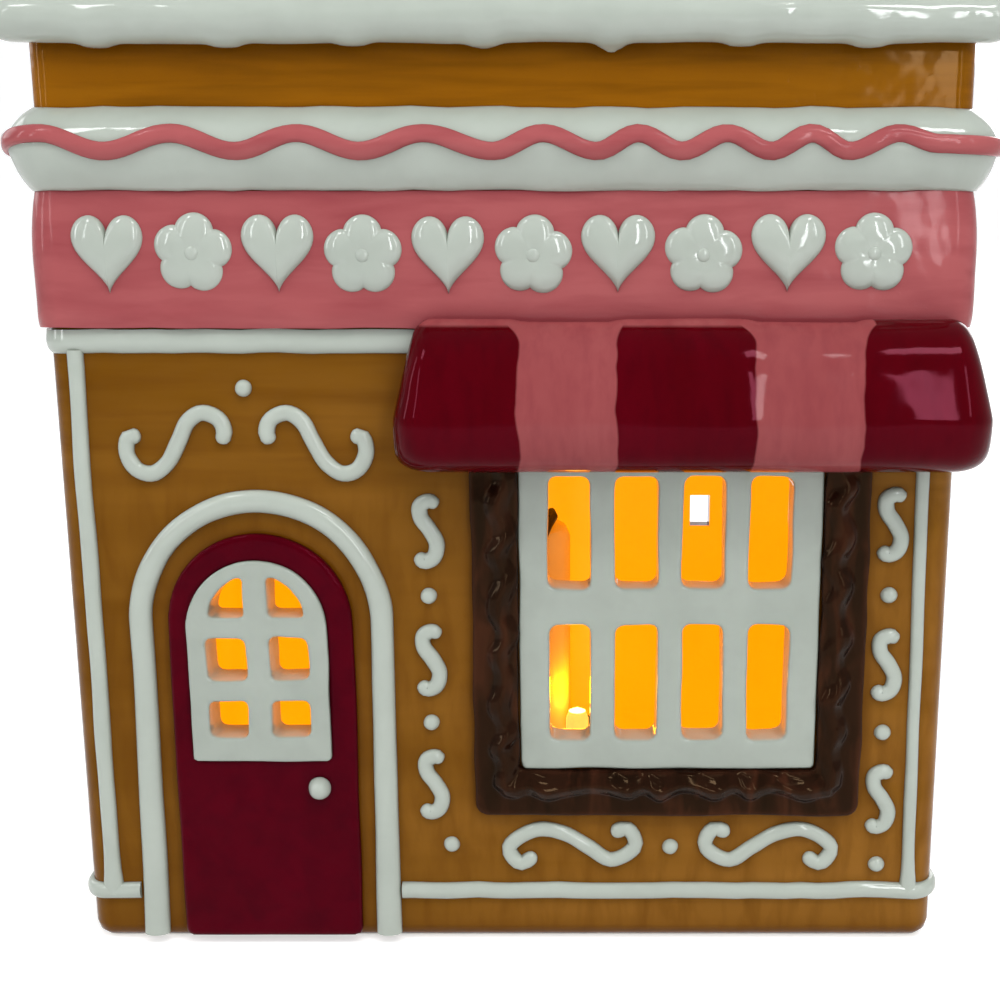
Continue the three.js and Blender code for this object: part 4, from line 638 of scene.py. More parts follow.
def half_round(steps, power):
    """(across, lift) over a line of icing: across goes from 1 to -1 and lift from 0 to 1 and back."""
    angles = [math.pi * k / steps for k in range(steps + 1)]
    return [(math.cos(a), math.sin(a) ** power) for a in angles]


def piped(steps, power, proud, sunk, base=0.0):
    """Section of a line of icing, (across, outward): half round, with its foot inside the wall."""
    over_wall = [(across, proud * lift + base) for across, lift in half_round(steps, power)]
    return over_wall + [(-0.9, -sunk), (0.9, -sunk)]


def circle(steps):
    """The angles of evenly spaced points round a circle."""
    return np.linspace(0, 2 * math.pi, steps, endpoint=False)


def rounded(corners, radius, steps=5):
    """A closed outline with every corner rounded, by one radius or one for each corner."""
    made = []
    n = len(corners)
    for i in range(n):
        before, here, after = (Vector(corners[(i + k) % n]) for k in (-1, 0, 1))
        r = radius[i] if isinstance(radius, list) else radius
        a = here + (before - here).normalized() * r
        b = here + (after - here).normalized() * r
        for k in range(steps + 1):
            t = k / steps
            made.append(tuple((1 - t) ** 2 * a + 2 * t * (1 - t) * here + t * t * b))
    return made


def rectangle(x0, x1, z0, z1, radius):
    return rounded([(x0, z0), (x1, z0), (x1, z1), (x0, z1)], radius)


def arch_outline(x, half, bottom, spring, foot_round, steps=40):
    """An arched outline whose two feet are a little rounded."""
    foot = [(0.0, foot_round), (foot_round * 0.3, foot_round * 0.3), (foot_round, 0.0)]
    left = [(x - half + a, bottom + b) for a, b in foot]
    right = [(x + half - a, bottom + b) for a, b in reversed(foot)]
    arc = [(x + half * math.cos(math.pi * k / steps), spring + half * math.sin(math.pi * k / steps))
           for k in range(steps + 1)]
    return left + right + arc


def plate(name, outlines, back, front):
    """A plate on the shop front: outlines are (x, z), with holes after the first, and it stands
    from back to front millimetres out of the wall."""
    curve = bpy.data.curves.new(name, "CURVE")
    curve.dimensions = "2D"
    curve.fill_mode = "BOTH"
    curve.extrude = (front - back) / 2 * MM
    for outline in outlines:
        line = curve.splines.new("POLY")
        line.points.add(len(outline) - 1)
        line.use_cyclic_u = True
        for point, (x, z) in zip(line.points, outline):
            point.co = (x * MM, z * MM, 0, 1)
    holder = add_object(name, curve)
    graph = bpy.context.evaluated_depsgraph_get()
    mesh = bpy.data.meshes.new_from_object(holder.evaluated_get(graph))
    bpy.data.objects.remove(holder)
    bpy.data.curves.remove(curve)
    middle = (front + back) / 2
    for v in mesh.vertices:
        x, z, out = v.co
        v.co = (x, (FRONT_Y - middle) * MM - out, z)
    rework(mesh, weld, face_out)
    mesh.name = name
    return add_object(name, mesh)


def merge(first, other):
    """Puts another piece's mesh into the first one."""
    rework(first.data, lambda work: work.from_mesh(other.data))
    bpy.data.objects.remove(other)


def on_front(x, z, out):
    return (x, FRONT_Y - out, z)


def wall_path(step_mm):
    """Points round the walls with the outward direction and the run along them; the run is 0 at
    the middle of the front and grows to the right."""
    flat_w = HALF_W - CORNER_R
    y0, y1 = MIDDLE_Y - HALF_D, MIDDLE_Y + HALF_D
    path = []

    def straight(x0, y0, x1, y1, out):
        count = max(1, round(math.hypot(x1 - x0, y1 - y0) / step_mm))
        for k in range(count):
            t = k / count
            path.append((x0 + (x1 - x0) * t, y0 + (y1 - y0) * t, *out))

    def corner(cx, cy, start, steps=10):
        for k in range(steps):
            a = math.radians(start + 90 * k / steps)
            c, s = math.cos(a), math.sin(a)
            path.append((cx + CORNER_R * c, cy + CORNER_R * s, c, s))

    straight(0, y0, flat_w, y0, (0, -1))
    corner(flat_w, y0 + CORNER_R, -90)
    straight(HALF_W, y0 + CORNER_R, HALF_W, y1 - CORNER_R, (1, 0))
    corner(flat_w, y1 - CORNER_R, 0)
    straight(flat_w, y1, -flat_w, y1, (0, 1))
    corner(-flat_w, y1 - CORNER_R, 90)
    straight(-HALF_W, y1 - CORNER_R, -HALF_W, y0 + CORNER_R, (-1, 0))
    corner(-flat_w, y0 + CORNER_R, 180)
    straight(-flat_w, y0, 0, y0, (0, -1))
    runs = [0.0]
    for a, b in zip(path, path[1:]):
        runs.append(runs[-1] + math.hypot(b[0] - a[0], b[1] - a[1]))
    total = runs[-1] + math.hypot(path[0][0] - path[-1][0], path[0][1] - path[-1][1])
    return path, runs, total


wall_points, wall_runs, total = wall_path(3.0)
STATIONS = list(zip(wall_points, wall_runs))


def on_front_wall(place):
    return place[1] < FRONT_Y + 0.01


def soft_noise(a, b=0.0, c=0.0):
    return noise.noise(Vector((a, b, c)))


def section(corners, samples, sunk):
    """A band's section, (outward, height): a smooth line through the corners that starts and
    ends inside the wall."""
    line = [tuple(p) for p in curve_through(corners, samples)]
    return [(-sunk, corners[0][1])] + line + [(-sunk, corners[-1][1])]


def band(stations, profile, edge_mm, face_mm, seed, closed=True):
    """A band of one profile along (place, run) stations round the walls. Its edges and its face
    wobble."""
    rings = []
    for (x, y, ox, oy), run in stations:
        turn = 2 * math.pi * run / total
        u, v = 9 * math.cos(turn), 9 * math.sin(turn)
        ring = []
        for out, z in profile:
            lift = out + face_mm * soft_noise(u + seed, v, z * 0.12) * (1 if out > 0.2 else 0)
            rise = z + edge_mm * soft_noise(u * 1.6 - seed, v * 1.6, z * 0.05 + 7)
            ring.append((x + ox * lift, y + oy * lift, rise))
        rings.append(ring)
    return skin(rings, closed_path=closed)


# Shell and roof

def copied_node(node):
    """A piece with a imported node's own solid, ready for finer edges."""
    mesh = frame["nodes"][node].data.copy()
    mesh.materials.clear()
    for attribute in [a.name for a in mesh.attributes if a.name == "custom_normal"]:
        mesh.attributes.remove(mesh.attributes[attribute])
    rework(mesh, weld, flatten)
    return add_object(f"{node}_piece", mesh)


def bevel(piece, width_mm, segments, angle_deg):
    edge = piece.modifiers.new("edge", "BEVEL")
    edge.width = width_mm * MM
    edge.segments = segments
    edge.limit_method = "ANGLE"
    edge.angle_limit = math.radians(angle_deg)
    edge.use_clamp_overlap = True
    settle(piece)


def weigh_normals(piece):
    piece.modifiers.new("normals", "WEIGHTED_NORMAL").keep_sharp = True


def in_cavity(x, y, slack):
    return abs(x) < HALF_W - WALL + slack and abs(y - MIDDLE_Y) < HALF_D - WALL + slack


def make_shell():
    piece = copied_node("shop_shell")
    finish_piece(piece, gingerbread, "shop_shell", 32)
    piece.data.materials.append(lining)
    piece.data.materials.append(clay)
    for face in piece.data.polygons:
        x, y, z = face.center / MM
        inside = in_cavity(x, y, 1.5)
        if inside and z > FLOOR_TOP:
            face.material_index = 1
        elif z < FLOOR_TOP and (face.normal.z < -0.9 or inside):
            face.material_index = 2
    weigh_normals(piece)


def make_roof():
    piece = copied_node("roof")
    bevel(piece, 0.8, 3, 40)
    finish_piece(piece, gingerbread, "roof", 32)
    piece.data.materials.append(lining)
    for face in piece.data.polygons:
        x, y, z = face.center / MM
        if in_cavity(x, y, 0.5) and face.normal.z <= 0.3 and z < roof_high.z - 6:
            face.material_index = 1
    weigh_normals(piece)


# Icing and bands round the walls

def bar(a, b, radius, seed):
    """A round bar of icing with domed ends, slightly uneven along its length."""
    start, end = Vector(a), Vector(b)
    d = (end - start).normalized()
    side = d.cross(Vector((0, 0, 1))).normalized()
    up = side.cross(d)
    length = (end - start).length
    stations = [(-radius * math.cos(t), math.sin(t)) for t in np.linspace(0.12, math.pi / 2, 6)]
    count = int(length / 2.0)
    middle = [(length * k / count, 1.0) for k in range(1, count)]
    tail = [(length - s, f) for s, f in reversed(stations)]
    rings = []
    for s, f in stations + middle + tail:
        ring = []
        for t in circle(20):
            swell = 1 + 0.25 / radius * soft_noise(s * 0.12, math.cos(t) + seed, math.sin(t))
            out = (side * math.cos(t) + up * math.sin(t)) * radius * f * swell
            ring.append(tuple(start + d * s + out))
        rings.append(ring)
    return skin(rings)


def blob(x, y, z, rx, ry, rz):
    rings = []
    for a in (math.pi * i / 10 for i in range(1, 10)):
        rings.append([(x + rx * math.sin(a) * math.cos(t), y + ry * math.sin(a) * math.sin(t),
                       z + rz * math.cos(a)) for t in circle(18)])
    return skin(rings)


def make_roof_icing():
    eave_z = WALL_TOP + 1.2
    eave_out = span("roof_icing")[1].y - MIDDLE_Y - 4.2
    rake_x = roof_high.x
    eave_x = rake_x - 1.5
    foot_z = WALL_TOP + 1.5 + (HALF_D + 5.5 - eave_out) * math.tan(math.radians(ROOF_PITCH_DEG))
    top_z = roof_high.z - 1.2
    parts = []
    for side in (-1, 1):
        y = MIDDLE_Y + side * eave_out
        parts.append(bar((-eave_x, y, eave_z), (eave_x, y, eave_z), EAVE_R, side))
        for x in (-rake_x, rake_x):
            seed = 3 if x > 0 else -3
            parts.append(bar((x, y, foot_z), (x, MIDDLE_Y, top_z), RAKE_R, seed))
        for i, drop in enumerate(DRIP_DROPS):
            x = DRIP_MIDDLE + (i - 3) * DRIP_PITCH
            tip = eave_z - EAVE_R + 0.4 - drop * 0.5
            parts.append(blob(x, MIDDLE_Y + side * (HALF_D + 2.2), tip + 3.0, *DRIP_SIZE))
            parts.append(blob(x, y, eave_z - 0.5, *DRIP_ROOT))
    ridge_z = roof_high.z - 0.6
    parts.append(bar((-rake_x, MIDDLE_Y, ridge_z), (rake_x, MIDDLE_Y, ridge_z), RIDGE_R, 9))
    piece = mesh_object("roof_icing_piece", *join_parts(parts))
    finish_soft(piece, icing, "roof_icing")


def make_cornice():
    """The white roll; returns its outer line."""
    z0 = cornice_low.z
    height = cornice_high.z - z0
    proud = cornice_high.x - HALF_W
    shape = [(0.27, 0.0), (0.5, 0.1), (0.7, 0.22), (0.86, 0.36), (0.96, 0.47), (1.0, 0.56),
             (0.93, 0.67), (0.74, 0.79), (0.44, 0.91), (0.1, 1.0)]
    profile = section([(out * proud, z0 + t * height) for out, t in shape], 26, 0.6)
    sculpt("cornice_roll", band(STATIONS, profile, edge_mm=0.35, face_mm=0.35, seed=3), icing)
    return profile[1:-1]


def cornice_at(profile, z):
    """How far the roll stands out at a height, and how far it leans back there."""
    for (o0, z0), (o1, z1) in zip(profile, profile[1:]):
        if z <= z1:
            f = max(0.0, (z - z0) / (z1 - z0))
            return o0 + (o1 - o0) * f, math.atan2(o0 - o1, z1 - z0)


def squiggle_knots():
    """Where the wave turns: (run, height), the measured ones on the front and even ones elsewhere."""
    knots = sorted([(x, CREST_Z) for x in CRESTS] + [(x, TROUGH_Z) for x in TROUGHS] + RIGHT_END)
    first, last = knots[0][0], knots[-1][0]
    rest = total + first - last
    count = 2 * round(rest / SIDE_HALF_WAVE / 2)
    for k in range(1, count):
        knots.append((last + rest * k / count, CREST_Z if k % 2 else TROUGH_Z))
    return knots + [(first + total, knots[0][1])]


def wave_height(knots, run):
    first = knots[0][0]
    run = (run - first) % total + first
    for (s0, z0), (s1, z1) in zip(knots, knots[1:]):
        if run <= s1:
            return z0 + (z1 - z0) * (1 - math.cos(math.pi * (run - s0) / (s1 - s0))) / 2


def make_squiggle(profile):
    knots = squiggle_knots()
    fine_path, fine_runs, _ = wall_path(1.2)
    centres = []
    for (x, y, ox, oy), run in zip(fine_path, fine_runs):
        z = wave_height(knots, run)
        out, slope = cornice_at(profile, z)
        lean = math.cos(slope)
        centres.append((Vector((x + ox * out, y + oy * out, z)),
                        Vector((ox * lean, oy * lean, math.sin(slope)))))
    rings = []
    for i, (centre, normal) in enumerate(centres):
        following = centres[(i + 1) % len(centres)][0]
        side = (following - centres[i - 1][0]).normalized().cross(normal).normalized()
        half = WAVE_HALF + 0.14 * soft_noise(fine_runs[i] * 0.11, 4.0)
        rings.append([tuple(centre + side * half * across + normal * lift)
                      for across, lift in piped(10, 0.8, WAVE_PROUD, 0.5, base=-0.05)])
    sculpt("cornice_squiggle", skin(rings, closed_path=True), pink)


def make_sign():
    z0, z1 = sign_low.z, sign_high.z
    proud = sign_high.x - HALF_W
    shape = [(0.78, z0), (0.88, z0 + 1.2), (0.93, z0 + 5), (0.93, z0 + 10), (0.9, z0 + 14), (0.83, z1 - 6),
             (0.64, z1 - 2.4), (0.42, z1)]
    profile = section([(out * proud, z) for out, z in shape], 26, 0.6)
    sculpt("sign_band", band(STATIONS, profile, edge_mm=0.2, face_mm=0.2, seed=11), pink)


def make_bead():
    """The white line under the sign, from the front's left corner round to the awning."""
    z0, z1 = bead_low.z, bead_high.z
    proud = bead_high.x - HALF_W
    shape = [(0.1, z0), (0.7, z0 + 0.7), (1, z0 + 1.9), (1, z1 - 1.6), (0.8, z1)]
    profile = section([(out * proud, z) for out, z in shape], 14, 0.5)
    stop = awning_low.x + 1.4
    start = next(i for i, (p, _) in enumerate(STATIONS) if p[1] > FRONT_Y + CORNER_R * 0.4)
    stations = [(p, run) for p, run in STATIONS[start:] if not (p[0] > stop and on_front_wall(p))]
    stations.append(((stop + 3, FRONT_Y, 0, -1), stations[-1][1] + 2))
    sculpt("sill_bead", band(stations, profile, edge_mm=0.25, face_mm=0.2, seed=5, closed=False), icing)


def upright_line(foot_x, top_x, y, out, z0, z1, width, seed):
    """A line of icing that climbs the front or the back: out is the way the wall looks along Y."""
    rings = []
    line = piped(8, 0.75, LINE_PROUD, 0.4)
    count = int((z1 - z0) / 2.5)
    for k in range(count + 1):
        z = z0 + (z1 - z0) * k / count
        x = foot_x + (top_x - foot_x) * k / count + 0.3 * soft_noise(z * 0.05, seed)
        flare = 0.9 * math.exp(-(z - z0) / 3.0)
        half = width / 2 * (1 + 0.1 * soft_noise(z * 0.08, seed + 3)) + flare
        rings.append([(x + half * across, y + out * lift, z) for across, lift in line])
    return skin(rings)


def make_border():
    """The line along the base, from the door round the shop to the door, and the corner lines."""
    z0, z1 = BASE_LINE
    reach = (arch_high.x - arch_low.x) / 2 + 0.2
    door_x = (arch_low.x + arch_high.x) / 2
    left, right = door_x - reach, door_x + reach
    line = [(LINE_PROUD * lift, z0 + (z1 - z0) * (1 - across) / 2) for across, lift in half_round(8, 0.75)]
    profile = [(-0.4, z0 + 0.2)] + line + [(-0.4, z1 - 0.2)]
    stations = [((right, FRONT_Y, 0, -1), total + right)]
    beside_door, round_shop, to_door = [], [], []
    for p, run in STATIONS:
        if p[0] >= 0 or not on_front_wall(p):
            round_shop.append((p, run + total))
        elif p[0] > right:
            beside_door.append((p, run))
        elif p[0] < left:
            to_door.append((p, run + total))
    stations += beside_door + round_shop + to_door
    stations.append(((left, FRONT_Y, 0, -1), 2 * total + left))
    parts = [band(stations, profile, edge_mm=0.35, face_mm=0.1, seed=8, closed=False)]
    bead_foot = bead_low.z + 0.6
    for foot_x, top_x, y, out, top, width in (
        (-75.4, -75.2, FRONT_Y, -1, bead_foot, 2.9), (75.2, 74.1, FRONT_Y, -1, 103, 2.3),
        (-75.4, -75.2, BACK_Y, 1, bead_foot, 2.7), (75.0, 74.4, BACK_Y, 1, bead_foot, 2.7),
    ):
        parts.append(upright_line(foot_x, top_x, y, out, z0 + 1, top, width, foot_x + y))
    sculpt("icing_border", join_parts(parts), icing)


# Awning

def dark_share(x):
    """1 on a dark stripe and 0 on a pink one, with a soft step between."""
    share = 1.0
    for left, right in STRIPES:
        near = min(x - left, right - x)
        share -= min(1.0, max(0.0, 0.5 + near / 1.6))
    return share


def make_awning():
    x0 = awning_low.x
    length = awning_high.x - x0
    lip, top = awning_low.z, awning_high.z
    h = top - lip
    mid = lip + h * 0.4
    out = FRONT_Y - awning_low.y
    seat = 2.0
    line = curve_through([
        (seat, top - 2.6), (seat + 0.9, top - 0.7), (out * 0.34, top), (out * 0.55, lip + h * 0.94),
        (out * 0.76, lip + h * 0.8), (out * 0.91, lip + h * 0.6), (out, lip + h * 0.38),
        (out * 0.985, lip + h * 0.22), (out * 0.9, lip + h * 0.09), (out * 0.74, lip + h * 0.015),
        (out * 0.6, lip), (out * 0.42, lip + h * 0.06), (out * 0.2, AWNING_WALL_Z - 3.2),
        (-0.3, AWNING_WALL_Z),
    ], 46)
    profile = [(-0.3, top - 2.8)] + [tuple(p) for p in line]
    end = [AWNING_END_R * (1 - math.cos(t)) for t in np.linspace(0, math.pi / 2, 9)]
    middle = list(np.linspace(AWNING_END_R, length - AWNING_END_R, 60))[1:-1]
    rings = []
    for s in end + middle + [length - t for t in reversed(end)]:
        near = min(s, length - s, AWNING_END_R) / AWNING_END_R
        f = math.sqrt(max(0.0, 1 - (1 - near) ** 2))
        x = x0 + s
        sag = 0.3 * soft_noise(x * 0.045, 2.0)
        puff = 0.45 * dark_share(x)
        toward = 1 if s < length / 2 else -1
        ring = []
        for o, z in profile:
            grow = o
            rise = mid + (z - mid) * (0.72 + 0.28 * f)
            if o > seat:
                grow = seat + (o - seat) * (0.6 + 0.4 * f) + 0.25 * soft_noise(x * 0.07, z * 0.08, 5.0)
            if o > 3:
                rise += sag * (0.4 if z < lip + 4 else 1.0)
            if o > 1:
                rise += puff * max(0.0, (z - mid) / (top - mid)) ** 2
                grow += puff * 0.5
            high = max(0.0, (z - lip) / h - 0.35) / 0.65
            ring.append(on_front(x + toward * AWNING_TAPER * high * (1 - near), rise, grow))
        rings.append(ring)
    sculpt("awning", skin(rings), awning_glaze)


# Window

def pane_outline(x0, x1, z0, z1, radius, seed):
    """A pane's opening with soft corners and slightly uneven sides."""
    rng = random.Random(seed)
    corners = []
    for x, z, outward in ((x0, z0, -1), (x1, z0, 1), (x1, z1, 1), (x0, z1, -1)):
        low, high = (-0.25, 0.2) if outward < 0 else (-0.2, 0.25)
        corners.append((x + rng.uniform(low, high), z + rng.uniform(-0.2, 0.2)))
    return rounded(corners, radius)


def pierced(name, flange, insert, holes, proud):
    """A flange on the wall and an insert that goes through it, with the same holes."""
    piece = plate(name, [flange] + holes, 0.0, proud)
    merge(piece, plate("insert", [insert] + holes, -WALL, INSERT_PROUD))
    return piece


def make_lattice():
    x0, x1, z0, z1 = lattice_low.x, lattice_high.x, lattice_low.z, lattice_high.z
    first = (x0 + x1) / 2 - (4 * PANE_W + 3 * MULLION) / 2
    holes = []
    for i in range(4):
        left = first + i * (PANE_W + MULLION)
        for j, (z, height) in enumerate(PANE_ROWS):
            holes.append(pane_outline(left, left + PANE_W, z, z + height, 1.7, 10 * i + j))
    flange = rectangle(x0, x1, z0, z1, 1.2)
    insert = rectangle(x0 + 3, x1 - 3, z0 + 3, z1 - 0.6, 1.0)
    piece = pierced("window_lattice_piece", flange, insert, holes, FRONT_Y - lattice_low.y)
    finish_soft(piece, shaded_icing, "window_lattice")


def make_surround():
    """A flat frame with a wavy ridge of chocolate along its inner edge."""
    outer = (surround_low.x, surround_high.x, surround_low.z, surround_high.z)
    inner = (lattice_low.x - 0.2, lattice_high.x + 0.2, lattice_low.z - 0.2, lattice_high.z + 0.2)
    inset = RIDGE_HALF + 0.6
    left, right, low, high = inner[0] - inset, inner[1] + inset, inner[2] - inset, inner[3] + inset
    corners = [(left, low), (right, low), (right, high), (left, high)]
    rings = []
    for i, (ax, az) in enumerate(corners):
        bx, bz = corners[(i + 1) % 4]
        length = math.hypot(bx - ax, bz - az)
        ux, uz = (bx - ax) / length, (bz - az) / length
        steps = int(length / 0.6)
        for k in range(steps):
            s = (k + 0.5) / steps * length
            fade = min(1.0, s / 5, (length - s) / 5)
            phase = 2 * math.pi * s / RIDGE_WAVE + 3.5 * soft_noise(s * 0.07, 7.0 * i)
            sway = (0.7 * math.sin(phase) + 0.6 * soft_noise(s * 0.13, 3.0 * i)) * fade
            half = RIDGE_HALF * (1 + 0.14 * soft_noise(s * 0.2, 40 + i))
            crest = 2.2 + 0.25 * math.sin(phase + 1.0) + 0.5 * soft_noise(s * 0.2, 20 + 5 * i)
            ring = []
            for across, lift in half_round(16, 1):
                o = half * across + sway
                strand = 0.16 * math.cos(2 * math.pi * (o - 0.8 * sway) / 2.1) * lift
                out = 1.2 + crest * lift ** 1.2 + strand
                ring.append(on_front(ax + ux * s + uz * o, az + uz * s - ux * o, out))
            rings.append(ring)
    piece = plate("window_surround_piece", [rectangle(*outer, 3.0), rectangle(*inner, 0.6)], 0.0, 2.0)
    merge(piece, mesh_object("ridge", *skin(rings, closed_path=True)))
    finish_soft(piece, chocolate, "window_surround")


# Door

def make_door_slab(x, frame_half, frame_spring):
    half = (slab_high.x - slab_low.x) / 2
    spring = slab_high.z - half
    outline = arch_outline(x + 0.5, half + 0.5, slab_low.z, spring - 0.5, 1.0)
    hole = arch_outline(x, frame_half - 0.4, frame_low.z + 0.4, frame_spring, 0.8)
    slab = plate("door_slab_piece", [outline, hole], -0.3, FRONT_Y - slab_low.y)
    finish_soft(slab, dark_red, "door_slab")


def make_door_frame(x, frame_half, frame_spring):
    """White bars with two rows of square panes and two quarter-round ones over them."""
    holes = []
    foot = frame_low.z + QUARTER_FOOT
    for side in (-1, 1):
        inner = x + side * DOOR_BAR / 2
        for j, (bottom, height) in enumerate(DOOR_ROWS):
            z = frame_low.z + bottom
            xs = sorted([inner, inner + side * DOOR_PANE_W])
            holes.append(pane_outline(*xs, z, z + height, 1.3, 40 + 5 * j + side))
        outer = inner + side * 6.6
        quarter = [(inner, foot), (outer, foot), (outer - side * 0.6, foot + 2.9),
                   (outer - side * 2.6, foot + 5.6), (inner + side * 1.6, foot + 7.3), (inner, foot + 7.4)]
        holes.append(rounded(quarter, [0.9, 0.9, 0.9, 0.9, 0.6, 0.6]))
    flange = arch_outline(x, frame_half, frame_low.z, frame_spring, 0.6)
    insert = arch_outline(x, frame_half - 1.76, frame_low.z + 2.2, frame_spring, 0.6)
    piece = pierced("door_window_frame_piece", flange, insert, holes, FRONT_Y - frame_low.y)
    finish_soft(piece, shaded_icing, "door_window_frame")


def make_door_arch(door_x):
    """The white line up one side, round the top and down the other."""
    middle = (arch_high.x - arch_low.x) / 2 - ARCH_HALF
    spring = arch_high.z - middle - ARCH_HALF
    legs = [(1, 0, z) for z in np.linspace(arch_low.z, spring, 26, endpoint=False)]
    turn = [(math.cos(a), math.sin(a), spring) for a in np.linspace(0, math.pi, 60)]
    rings = []
    for i, (c, s, base) in enumerate(legs + turn + [(-1, 0, z) for _, _, z in reversed(legs)]):
        climb = min(1.0, 1.6 * (base + s * middle - arch_low.z) / (arch_high.z - arch_low.z))
        half = (2.4 - 0.35 * climb) * (1 + 0.06 * soft_noise(i * 0.16, 3.0))
        centre = middle - 0.3 * climb * abs(c) + 0.2 * soft_noise(i * 0.1, 8.0)
        x = door_x + 0.55 * climb
        points = [(centre + half * across, lift) for across, lift in piped(12, 0.7, ARCH_PROUD, 0.4)]
        rings.append([on_front(x + c * r, base + s * r, lift) for r, lift in points])
    sculpt("door_arch_icing", skin(rings), icing)


def dome(x, z, radius, back, proud, fullness):
    """A round drop of icing on the front."""
    turns = circle(28)
    rings = [[on_front(x + radius * 0.9 * math.cos(t), z + radius * 0.9 * math.sin(t), back) for t in turns]]
    for k in range(1, 9):
        a = math.pi / 2 * k / 8
        r = radius * (math.cos(a) ** fullness if k < 8 else 0.02)
        lift = back + proud * math.sin(a)
        rings.append([
            on_front(x + r * (1 + 0.04 * math.cos(2 * t + x)) * math.cos(t), z + r * math.sin(t), lift)
            for t in turns
        ])
    return skin(rings)


def make_door():
    door_x = (slab_low.x + slab_high.x) / 2
    frame_half = (frame_high.x - frame_low.x) / 2
    frame_spring = frame_high.z - frame_half
    make_door_slab(door_x, frame_half, frame_spring)
    make_door_frame(door_x, frame_half, frame_spring)
    make_door_arch(door_x)
    low, high = span("door_knob")
    x, z, radius = (low.x + high.x) / 2, (low.z + high.z) / 2, (high.x - low.x) / 2
    back, proud = FRONT_Y - high.y, high.y - low.y
    sculpt("door_knob", dome(x, z, radius, back - 0.2, proud + 0.2, fullness=0.9), icing)


# Scrolls and dots

def stroke(curve, seed):
    """A line of icing squeezed along a curve on the wall."""
    line = curve_through(curve, 70)
    run = runs_along(line)
    length = run[-1]
    half = STROKE / 2

    def at(s):
        return np.array([np.interp(s, run, line[:, 0]), np.interp(s, run, line[:, 1])])

    ends = [s * half for s in (0.02, 0.1, 0.3, 0.6)]
    rings = []
    for s in ends + list(np.linspace(half, length - half, 46)) + [length - s for s in reversed(ends)]:
        ahead = at(s + 0.05) - at(s - 0.05)
        ahead /= np.linalg.norm(ahead) + 1e-9
        side = np.array([-ahead[1], ahead[0]])
        end = min(s, length - s, half) / half
        f = math.sqrt(1 - (1 - end) ** 2)
        swell = 1 + 0.07 * soft_noise(s * 0.3, seed)
        ring = []
        for across, lift in half_round(10, 0.8):
            point = at(s) + side * half * f * swell * across
            ring.append(on_front(*point, STROKE_PROUD * lift * (0.25 + 0.75 * f)))
        for across in (-0.85, 0.85):
            ring.append(on_front(*(at(s) + side * half * f * across), -0.35))
        rings.append(ring)
    return skin(rings)


def make_scrolls():
    """Each keeps its node's place; those over the door and under the window are mirrored pairs."""
    nodes = sorted(n for n in frame["nodes"] if "scroll" in n or n.startswith("icing_dot"))
    for i, node in enumerate(nodes):
        low, high = span(node)
        x, z = (low.x + high.x) / 2, (low.z + high.z) / 2
        if node.startswith("icing_dot"):
            sculpt(node, dome(x, z, DOT_R, -DOT_SUNK, DOT_PROUD + DOT_SUNK, fullness=0.75), icing)
            continue
        curve, flip = S_CURVE, 1
        if node.startswith(("door_scroll", "sill_scroll")):
            curve = DOOR_CURVE if node.startswith("door") else LONG_CURVE
            flip = 1 if node.endswith("left") else -1
        xs, zs = zip(*curve)
        cx, cz = (min(xs) + max(xs)) / 2 * flip, (min(zs) + max(zs)) / 2
        placed = [(x + a * flip - cx, z + b - cz) for a, b in curve]
        sculpt(node, stroke(placed, i * 5.3), icing)


# Relief on the sign: hearts and five-petalled flowers in turn

def pillow(outline, cx, cz, base, proud, rows=9, dip=0.0):
    """A cushion-shaped relief over an outline that can be seen whole from its centre."""
    rings = [[on_front(x, z, base - 0.4) for x, z in outline]]
    for k in range(1, rows + 1):
        f = math.cos(math.pi / 2 * k / rows) if k < rows else 0.02
        lift = base + proud * (1 - f ** 2.6) ** 0.55 - dip * math.exp(-(f / 0.3) ** 2)
        rings.append([on_front(cx + (x - cx) * f, cz + (z - cz) * f, lift) for x, z in outline])
    return skin(rings)


def heart(cx, cz, width, height):
    turns = circle(72)
    xs = [16 * math.sin(t) ** 3 for t in turns]
    zs = [13 * math.cos(t) - 5 * math.cos(2 * t) - 2 * math.cos(3 * t) - math.cos(4 * t) for t in turns]
    sx = width / (max(xs) - min(xs))
    sz = height / (max(zs) - min(zs))
    middle = (max(zs) + min(zs)) / 2
    return [(cx + x * sx, cz + (z - middle) * sz) for x, z in zip(xs, zs)]


def flower(cx, cz, radius, turn):
    made = []
    for t in circle(100):
        r = radius * (0.80 + 0.20 * abs(math.cos(2.5 * t)) ** 0.8)
        made.append((cx + r * math.cos(t + turn), cz + r * math.sin(t + turn)))
    return made


def make_motifs():
    base = (FRONT_Y - sign_low.y) * 0.88 - 0.1
    rng = random.Random(7)
    for i in range(MOTIFS):
        x = MOTIF_X[0] + (MOTIF_X[1] - MOTIF_X[0]) * i / (MOTIFS - 1)
        z = MOTIF_Z + rng.uniform(-0.3, 0.3)
        if i % 2 == 0:
            outline = heart(x, z, HEART_W + rng.uniform(-0.3, 0.3), HEART_H)
            made = pillow(outline, x, z + 0.6, base, HEART_PROUD)
        else:
            petals = flower(x, z, FLOWER_R, math.pi / 2 + rng.uniform(-0.12, 0.12))
            bud = [(x + BUD_R * math.cos(t), z + BUD_R * math.sin(t)) for t in circle(20)]
            made = join_parts([
                pillow(petals, x, z, base, FLOWER_PROUD, dip=0.4),
                pillow(bud, x, z, base + 0.6, BUD_PROUD, rows=5),
            ])
        finish_piece(mesh_object(f"sign_motif_{i + 1}", *made), icing, None, 70)


make_shell()
make_roof()
make_roof_icing()
make_squiggle(make_cornice())
make_sign()
make_bead()
make_border()
make_awning()
make_lattice()
make_surround()
make_door()
make_scrolls()
make_motifs()


# Light unit: nodes, their look and the width of their bevelled edges

